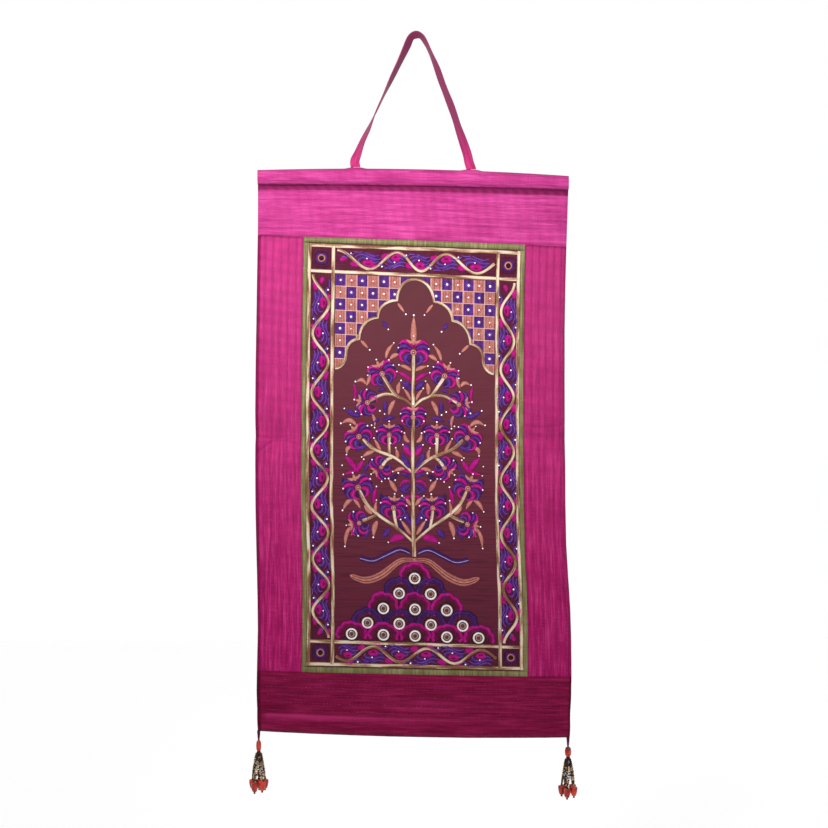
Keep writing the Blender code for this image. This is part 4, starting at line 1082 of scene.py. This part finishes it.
# Buds that hang from the niche's cusps: thread, foot, tip, in millimetres on the right half
cuspBuds = (
    ("coral", 26, -394, 16, -407, 5.0),
    ("purple", 48, -421, 41, -431, 6.5),
    ("coral", 80, -451, 69, -462, 5.5),
)
for side in (-1, 1):
    for colour, x0, z0, x1, z1, width in cuspBuds:
        foot, tip = np.array(((side * x0, z0), (side * x1, z1))) * millimetre + (lattice["innerShift"], 0.0)
        addLeaf(colour, [foot, (foot + tip) / 2, tip], width * millimetre)
        addSeed(*(tip + (tip - foot) * 0.22))

# A bed of dark stitches fills the lattice's strips under the vines, and its corner squares


def addBed(left, right, low, high):
    middle = (left + right) / 2 if high - low > right - left else (low + high) / 2
    line = ([(middle, z) for z in span(low, high, 0.005)] if high - low > right - left
            else [(x, middle) for x in span(left, right, 0.005)])
    addPatch("bed", line, min(right - left, high - low), 0.00035, across=12, profile=np.ones_like, shade=0.0)


for side in (-1, 1):
    sides = sorted((side * lattice["outer"], side * lattice["inner"] + lattice["innerShift"]))
    for low, high in ((lattice["innerLow"], lattice["innerTop"]), (lattice["innerTop"], lattice["top"]),
                      (lattice["low"], lattice["innerLow"])):
        addBed(sides[0], sides[1], low, high)
for low, high in ((lattice["innerTop"], lattice["top"]), (lattice["low"], lattice["innerLow"])):
    addBed(lattice["innerShift"] - lattice["inner"], lattice["innerShift"] + lattice["inner"], low, high)

# Vine bays: in the bow of each half wave lie violet strands with lilac lines of painted highlight on them, a magenta
# bud with a dark core, a leaf, a corner leaf and two seeds. A half bay at a vine's end has two small buds as well

bay = {
    # places in a bay: along the vine in shares of its half wave, and millimetres from the vine's crest
    "violets": (
        (6.8, ((-0.46, 14.0), (-0.30, 12.2), (-0.12, 13.8), (0.08, 18.0), (0.26, 18.6), (0.42, 14.6))),
        (5.6, ((-0.40, 19.0), (-0.22, 17.0), (-0.06, 18.8), (0.12, 22.4))),
        (6.4, ((0.02, 13.0), (0.18, 13.8), (0.30, 10.6), (0.27, 6.4))),
        (5.6, ((0.44, 20.4), (0.60, 16.6), (0.78, 19.4))),
        (5.0, ((-0.36, 9.8), (-0.25, 7.2), (-0.15, 7.6))),
        (4.6, ((0.16, 22.4), (0.32, 21.6), (0.46, 22.6))),
    ),
    "bud": (11.6, ((-0.21, 7.0), (-0.02, 6.4), (0.18, 7.2))),
    "core": (2.0, ((-0.08, 5.6), (-0.01, 5.0), (0.08, 5.8))),
    "leaf": (10.6, ((-0.74, 19.6), (-0.58, 17.0), (-0.42, 18.0))),
    "corner": (8.2, ((0.72, 22.6), (0.84, 20.0), (0.98, 21.4))),
    "endBud": (7.4, ((0.10, 13.6), (0.20, 10.6), (0.33, 9.6))),
    "seeds": ((0.03, 13.0), (0.55, 20.0)),
}


def addBay(start, end, outward, lowest, highest, half):
    # start and end are where the vine crosses its middle line, outward points from its crest across the bay,
    # and lowest and highest are the ends of the strip along the vine
    start, end, outward = np.array(start), np.array(end), np.array(outward)
    crest = (start + end) / 2 - outward * bayStart
    way = 0 if outward[0] == 0.0 else 1

    def placed(points):
        return [crest + (end - start) * a + outward * b * millimetre for a, b in points]

    def inStrip(line):
        return all(lowest < point[way] < highest for point in line)

    for width, points in bay["violets"]:
        line = placed(points)
        if inStrip(line):
            addLeaf("purple", line, width * millimetre, blunt=0.55)
            addStem("lilac", line, 0.0012, 0.0007, base=0.0008)
    for colour, part, base in (("magenta", "bud", 0.0003), ("wine", "core", 0.0014), ("magenta", "leaf", 0.0),
                               ("magenta", "corner", 0.0)):
        width, points = bay[part]
        if inStrip(placed(points)):
            addLeaf(colour, placed(points), width * millimetre, blunt=0.5, base=base)
    if half:
        width, points = bay["endBud"]
        for side in (-1, 1):
            line = placed([(side * a, b) for a, b in points])
            if inStrip(line):
                addLeaf("magenta", line, width * millimetre, blunt=0.5, base=0.0003)
    for place in placed(bay["seeds"]):
        if inStrip([place]):
            addSeed(*place)


for name, points in vineLines.items():
    along, off = (points[:, 1], points[:, 0]) if name in ("vine_left", "vine_right") else (points[:, 0], points[:, 1])
    off = off - vineMiddles[name]
    # the crest's inner edge is this far from the vine's middle line
    bayStart = np.abs(off).max() - vine["width"] / 2
    crossings = [i for i in range(len(off) - 1) if off[i] * off[i + 1] <= 0]
    lowest, highest = along.min() + 0.002, along.max() - 0.002
    for first, last in zip([0, *crossings], [*crossings, len(off) - 1]):
        if last - first < 5:
            continue
        bowSide = -math.copysign(1.0, off[(first + last) // 2])
        a, b = along[first], along[last]
        half = last - first < 10
        if half:
            # half a bay, at an end of the vine
            a, b = (2 * a - b, b) if first == 0 else (a, 2 * b - a)
        if name in ("vine_left", "vine_right"):
            addBay((vineMiddles[name], a), (vineMiddles[name], b), (bowSide, 0.0), lowest, highest, half)
        else:
            addBay((b, vineMiddles[name]), (a, vineMiddles[name]), (0.0, bowSide), lowest, highest, half)
print("vine bays worked")

for slotName, rows in {
    "coral_thread": (
        ("magenta", "magentaStitching"), ("purple", "purpleStitching"), ("coral", "coralStitching"),
        ("dusk", "duskStitching"), ("wine", "wineStitching"), ("lilac", "lilacLines"), ("blush", "blushLines"),
        ("mauve", "mauveLines"), ("wineCoral", "shadedCoralLines"), ("bed", "bedAndShadeStitching"), ("cream", "creamLines"),
    ),
    "mirror_work": (("brown", "brownRings"), ("white", "mirrorRings"), ("mirror", "mirrorGlass")),
    "coral_bead": (("pearl", "seedBeads"),),
}.items():
    for colour, name in rows:
        piece = finishWork(colour, name)
        if name == "mirrorRings":
            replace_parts(piece, *[f"mirror_{i:02d}" for i in range(1, mirrorNumber + 1)])
        if name == "coralStitching":
            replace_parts(piece, "rosette_top_left", "rosette_top_right", "rosette_bottom_left",
                        "rosette_bottom_right")

# Running stitches of the quilting

stitches = {
    "length": 0.0031, "width": 0.0007, "rise": 0.0005, "wander": 0.0003,
    # level rows: thread, seam, which way they go from it, how many, left end, right end, and how much longer they are
    "rows": (("roseStitch", cloth["topSeam"], 1, 6, -0.226, 0.226, 1.0),
             ("plumStitch", cloth["bottomSeam"], -1, 5, -0.216, 0.222, 1.45)),
}


def addRunning(colour, start, end, seed, longer=1.0):
    # short raised stitches along a line, from one end to the other, a little uneven
    draw = random.Random(seed)
    length = math.dist(start, end)
    start, end = np.array(start), np.array(end)
    ahead = (end - start) / length
    place = draw.uniform(0.0, quilt["stitch"])
    while place + stitches["length"] < length:
        off = np.array((ahead[1], -ahead[0])) * draw.uniform(-stitches["wander"], stitches["wander"])
        a = start + ahead * place + off - (panel["shift"], 0.0)
        b = a + ahead * stitches["length"] * longer * draw.uniform(0.8, 1.1)
        addPatch(colour, [a, (a + b) / 2, b], stitches["width"] * np.array((0.6, 1.0, 0.6)), stitches["rise"],
                 across=3, base=-0.00035)
        place += quilt["stitch"] * draw.uniform(0.9, 1.1)


seed = 0
for colour, seam, way, count, left, right, longer in stitches["rows"]:
    for line in range(1, count + 1):
        seed += 1
        height = seam + way * line * quilt["pitch"]
        addRunning(colour, (left, height), (right, height), seed, longer)
for left, right in ((-cloth["halfWidth"], leftEdge), (rightEdge + gap, cloth["halfWidth"])):
    for line in range(1, round((right - left) / quilt["pitch"])):
        seed += 1
        across = left + line * quilt["pitch"]
        addRunning("stitch", (across, sideLow + 0.003), (across, sideTop - 0.003), seed)
finishWork("roseStitch", "roseRunning")
finishWork("plumStitch", "plumRunning")
finishWork("stitch", "magentaRunning")

# Strap: one ribbon with half a turn in it

strap = {
    "width": 0.0138, "thick": 0.0016, "forward": 0.0015,
    # across, height and the turn of its face in degrees, from the left foot to the right one
    "rows": (
        (-0.0915, -0.1925, 180), (-0.0905, -0.1840, 166), (-0.0864, -0.1730, 146), (-0.0792, -0.1545, 123),
        (-0.0704, -0.1365, 110), (-0.0627, -0.1190, 99), (-0.0547, -0.1015, 88), (-0.0466, -0.0840, 81),
        (-0.0383, -0.0665, 75), (-0.0298, -0.0490, 66), (-0.0212, -0.0310, 57), (-0.0136, -0.0145, 52),
        (-0.0096, -0.0050, 51), (-0.0066, -0.0010, 51), (-0.0024, 0.0012, 52), (0.0024, 0.0014, 56),
        (0.0068, -0.0006, 64), (0.0104, -0.0048, 71), (0.0160, -0.0150, 73), (0.0232, -0.0310, 69),
        (0.0305, -0.0490, 62), (0.0365, -0.0665, 56), (0.0432, -0.0840, 54), (0.0500, -0.1015, 54),
        (0.0562, -0.1190, 53), (0.0617, -0.1365, 47), (0.0680, -0.1545, 38), (0.0743, -0.1735, 24),
        (0.0772, -0.1860, 10), (0.0790, -0.1960, 0),
    ),
}


def makeStrap():
    rows = np.array(strap["rows"], dtype=float)
    feet = hangPoints(np.array([(foot, 0.0, cloth["sleeveTop"]) for foot in cloth["strapFeet"]]))
    rows[0, :2] = feet[0, 0], feet[0, 2] + 0.0004
    rows[-1, :2] = feet[1, 0], feet[1, 2] + 0.0004
    line = curveThrough(rows, 9)
    count, wide = len(line), 13
    mesh = uprightGrid("strapRibbon", wide, count)
    ahead = np.gradient(line[:, :2], axis=0)
    ahead[0], ahead[-1] = (0.0, 1.0), (0.0, -1.0)
    ahead /= np.hypot(ahead[:, 0], ahead[:, 1])[:, None]
    turn = np.radians(line[:, 2])
    side = np.column_stack((ahead[:, 1] * np.cos(turn), np.sin(turn), -ahead[:, 0] * np.cos(turn)))
    face = np.column_stack((-ahead[:, 1] * np.sin(turn), np.cos(turn), ahead[:, 0] * np.sin(turn)))
    t = np.linspace(0, 1, count)
    centre = np.column_stack((line[:, 0], -strap["forward"] * np.sin(math.pi * t), line[:, 1]))
    s = np.linspace(-0.5, 0.5, wide)
    # the two stitched edges lie a little lower than the middle, and the cloth is never quite flat
    sewn = hump(np.abs(s) - 0.39, 0.05)
    wobble = 0.0004 * np.sin(t * 61)[:, None] * s[None, :] * 2
    places = centre[:, None, :] + side[:, None, :] * (s * strap["width"])[None, :, None]
    places = places + face[:, None, :] * (0.0003 * sewn[None, :] + wobble)[:, :, None]
    setPlaces(mesh, places.reshape(-1, 3))
    along = lengthAlong(line[:, :2])
    vertexUv(mesh, "flat", np.column_stack((np.tile(s * strap["width"], count), np.repeat(along, wide))))
    # painted shade: duller high up, where the strap leans away from the light, and darker along its stitched edges
    paintedShadeHigh = 0.9 * smoothStep((line[:, 1] + 0.192) / 0.08)
    keepValues(mesh, "furrow", np.maximum(np.repeat(paintedShadeHigh, wide), np.tile(0.3 * sewn, count)))
    piece = linked(mesh, "strap")
    thicken(piece, strap["thick"], 0.0)
    edge = piece.modifiers.new("edge", "BEVEL")
    edge.width = 0.0004
    edge.segments = 2
    edge.limit_method = "ANGLE"
    edge.angle_limit = math.radians(50)
    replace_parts(piece, "strap")


makeStrap()
print("strap made")

# Tassels: thread and knot, strings of seed beads, coral bells on their ends

tassels = {
    "rows": (("left", -0.2274, 234.0, 0.0038, 0.0165), ("right", 0.2262, 258.0, 0.0048, 0.0152)),
    "hanger": 0.0130, "hangerRadius": 0.0011, "knot": 0.0034, "spread": 0.0095, "drop": 0.0385,
    "extras": (0.0036, 0.0018, 0.0000, 0.0010, 0.0004), "seed": 0.00145, "bellRadius": 0.0053,
    "bellHeight": 0.0138, "bore": 0.0013, "longBore": 0.0016,
    # how far a string's outer threads lie from its middle one
    "beside": 0.0027,
    # a strand's course: share of the spread, share of the drop
    "course": ((0.36, 0.0), (0.46, 0.10), (0.56, 0.25), (0.73, 0.50), (0.90, 0.78), (1.0, 0.97), (1.0, 1.0)),
}
parts = {}


def partFor(name, material, slotName, nodes):
    return parts.setdefault(name, {"bm": bmesh.new(), "material": material, "slot": slotName, "nodes": nodes})


def lathe(bm, profile, place, steps=18):
    # a turned bead: its outline spun about its own upright axis
    verts = [bm.verts.new((place[0] + r, place[1], place[2] + z)) for r, z in profile]
    edges = [bm.edges.new(pair) for pair in zip(verts, verts[1:] + verts[:1])]
    bmesh.ops.spin(bm, geom=verts + edges, cent=place, axis=(0, 0, 1), angle=2 * math.pi, steps=steps,
                   use_merge=True, use_duplicate=False)


def beadAt(bm, place, radius, squash=1.0):
    bmesh.ops.create_uvsphere(bm, u_segments=8, v_segments=6, radius=radius,
                              matrix=Matrix.Translation(place) @ Matrix.Diagonal((1, 1, squash, 1)))


def tubeAlong(bm, places, radii, sides=8):
    # rings along a line, bridged one to the next
    previous = None
    for place, radius in zip(places, radii):
        ring = bmesh.ops.create_circle(bm, segments=sides, radius=radius, matrix=Matrix.Translation(place))["verts"]
        if previous:
            rims = [e for e in {e for v in previous + ring for e in v.link_edges} if len(e.link_faces) < 2]
            bmesh.ops.bridge_loops(bm, edges=rims)
        previous = ring
    bmesh.ops.holes_fill(bm, edges=[e for e in bm.edges if e.is_boundary], sides=0)


def longBead(radius, length):
    bore = tassels["longBore"]
    turns = np.linspace(0.12, math.pi - 0.12, 12)
    outer = [(bore + (radius - bore) * math.sin(t) ** 0.8, length / 2 * (1 + math.cos(t))) for t in turns]
    return outer + [(bore, outer[-1][1]), (bore, outer[0][1])]


def bellBead(radius, height, bore):
    return ((radius * 0.45, height * 0.93), (radius * 0.62, height), (radius * 0.86, height * 0.975),
            (radius * 0.98, height * 0.90), (radius, height * 0.78), (radius * 0.97, height * 0.64),
            (radius * 0.90, height * 0.46), (radius * 0.78, height * 0.26), (radius * 0.64, height * 0.10),
            (radius * 0.52, height * 0.02), (radius * 0.40, 0.0), (bore, 0.0), (bore, height * 0.9))


def levels(place, *heights):
    # places straight over or under one place
    return [Vector((place.x, place.y, z)) for z in heights]


strandDraw = random.Random(7)
for name, across, firstAngle, beadRadius, beadLength in tassels["rows"]:
    corner = Vector(hangPoints(np.array([(across, -0.0030, cloth["sleeveBottom"])]))[0])
    thread = partFor(f"thread_{name}", "cord", "magenta_silk", [f"tassel_{name}"])["bm"]
    seeds = {
        "dark": partFor(f"darkSeeds_{name}", "darkBead", "seed_bead", [])["bm"],
        "cream": partFor(f"silverSeeds_{name}", "creamBead", "seed_bead", [])["bm"],
    }
    beadTop = corner.z - gap - tassels["hanger"]
    beadLow = beadTop - beadLength
    knotMiddle = beadLow - tassels["knot"] * 0.75
    thin = tassels["hangerRadius"]
    tubeAlong(thread, levels(corner, corner.z + 0.001, corner.z - 0.004, beadTop + 0.002, beadTop - 0.001),
              [0.0024, 0.0022, 0.0015, thin])
    tubeAlong(thread, levels(corner, beadTop - 0.001, beadLow + 0.001), [thin, thin])
    # the knot is a small cluster of seeds, from which the strings spread
    for ring, count in ((0.0, 5), (0.5, 6), (1.0, 5)):
        for i in range(count):
            angle = 2 * math.pi * (i + ring) / count
            reach = tassels["knot"] * 0.55
            place = Vector((corner.x + reach * math.cos(angle), corner.y + reach * math.sin(angle),
                            knotMiddle + 0.0016 - ring * 0.0032))
            beadAt(seeds["dark"], place, tassels["seed"])
    head = partFor(f"headBead_{name}", "coralBead", "coral_bead", [f"tassel_bead_{name}"])["bm"]
    lathe(head, longBead(beadRadius, beadLength - 0.0008), *levels(corner, beadLow + 0.0004))
    for number, extra in enumerate(tassels["extras"]):
        angle = math.radians(firstAngle + 72 * number)
        out = Vector((math.cos(angle), math.sin(angle), 0.0))
        length = tassels["drop"] + extra
        course = [levels(corner, knotMiddle)[0] + out * tassels["spread"] * s - Vector((0, 0, length * d))
                  for s, d in tassels["course"]]
        line = [Vector(p) for p in curveThrough([tuple(p) for p in course], 8)]
        beside = Vector((-math.sin(angle), math.cos(angle), 0.0)) * tassels["beside"]
        for twin in (-1, 0, 1):
            travelled = 0.0
            nextSeed = 0.0010 + 0.0006 * twin
            for a, b in zip(line, line[1:]):
                travelled += (b - a).length
                while travelled > nextSeed:
                    share = nextSeed / (length * 1.03)
                    kind = "cream" if strandDraw.random() < (0.06 if share < 0.25 else 0.42) else "dark"
                    place = b + beside * twin * math.sin(math.pi * min(share, 0.9))
                    beadAt(seeds[kind], place, tassels["seed"] * strandDraw.uniform(0.92, 1.08), 0.86)
                    nextSeed += tassels["seed"] * 1.72
        foot = line[-1]
        bellLow = foot.z - tassels["bellHeight"]
        bell = partFor(f"bell_{name}_{number + 1}_turned", "coralBead", "coral_bead",
                       [f"bell_{name}_{number + 1}"])["bm"]
        lathe(bell, bellBead(tassels["bellRadius"], tassels["bellHeight"], tassels["bore"]), *levels(foot, bellLow),
              steps=16)
        tubeAlong(thread, levels(foot, foot.z, bellLow - 0.001), [0.0007, 0.0007], 6)
        beadAt(seeds["dark"], *levels(foot, bellLow - 0.0016), 0.0017, 0.8)

for name, made in parts.items():
    bm = made["bm"]
    bmesh.ops.remove_doubles(bm, verts=bm.verts[:], dist=0.000004)
    bmesh.ops.recalc_face_normals(bm, faces=bm.faces[:])
    mesh = bpy.data.meshes.new(name)
    bm.to_mesh(mesh)
    bm.free()
    mesh.uv_layers.new(name="thread")
    piece = linked(mesh, made["material"])
    if made["nodes"]:
        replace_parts(piece, *made["nodes"])
print("tassels strung")

# Floor, light and camera

stage = {"floor": -1.62, "floorSize": 14.0, "floorColour": "#fefefe"}
bm = bmesh.new()
bmesh.ops.create_grid(bm, x_segments=8, y_segments=8, size=stage["floorSize"] / 2)
bmesh.ops.translate(bm, verts=bm.verts[:], vec=(0, 0, stage["floor"]))
floorMesh = bpy.data.meshes.new("studioFloor")
bm.to_mesh(floorMesh)
bm.free()
floor = bpy.data.objects.new("studioFloor", floorMesh)
bpy.context.scene.collection.objects.link(floor)
floorFinish, _, floorShader = newMaterial("paintedFloor", Roughness=0.8)
floorShader.inputs["Base Color"].default_value = hexColour(stage["floorColour"])
floorMesh.materials.append(floorFinish)

world = bpy.data.worlds.new("studio")
bpy.context.scene.world = world
world.use_nodes = True
world.node_tree.nodes["Background"].inputs["Color"].default_value = hexColour("#ffffff")
world.node_tree.nodes["Background"].inputs["Strength"].default_value = 1.0

# the cone is in degrees
keyLight = {"place": (-0.55, -1.95, 0.40), "aim": (-0.03, 0.0, -0.25), "size": 0.35, "watts": 320.0, "cone": 35.0}
lamp = bpy.data.lights.new("keyLight", "SPOT")
lamp.shadow_soft_size = keyLight["size"]
lamp.energy = keyLight["watts"]
lamp.spot_size = math.radians(keyLight["cone"])
lamp.spot_blend = 1.0
key = bpy.data.objects.new("keyLight", lamp)
key.location = keyLight["place"]
key.rotation_euler = (Vector(keyLight["aim"]) - key.location).to_track_quat("-Z", "Y").to_euler()
bpy.context.scene.collection.objects.link(key)

# The photo is 828 pixels square at 1.47 mm a pixel. Its column 416.5 and row 36 are the frame's origin.
view = {"pixels": 828, "scale": 0.00147, "originColumn": 416.5, "originRow": 36.0, "distance": 3.2, "sensor": 36.0}
centreX = (view["pixels"] / 2 - view["originColumn"]) * view["scale"]
centreZ = (view["originRow"] - view["pixels"] / 2) * view["scale"]
camera = bpy.data.objects.new("photoCamera", bpy.data.cameras.new("photoCamera"))
camera.data.sensor_width = view["sensor"]
camera.data.lens = view["sensor"] * view["distance"] / (view["pixels"] * view["scale"])
camera.location = (centreX, -view["distance"], centreZ)
camera.rotation_euler = (math.radians(90), 0, 0)
bpy.context.scene.collection.objects.link(camera)
bpy.context.scene.camera = camera
bpy.context.scene.view_settings.view_transform = "Standard"
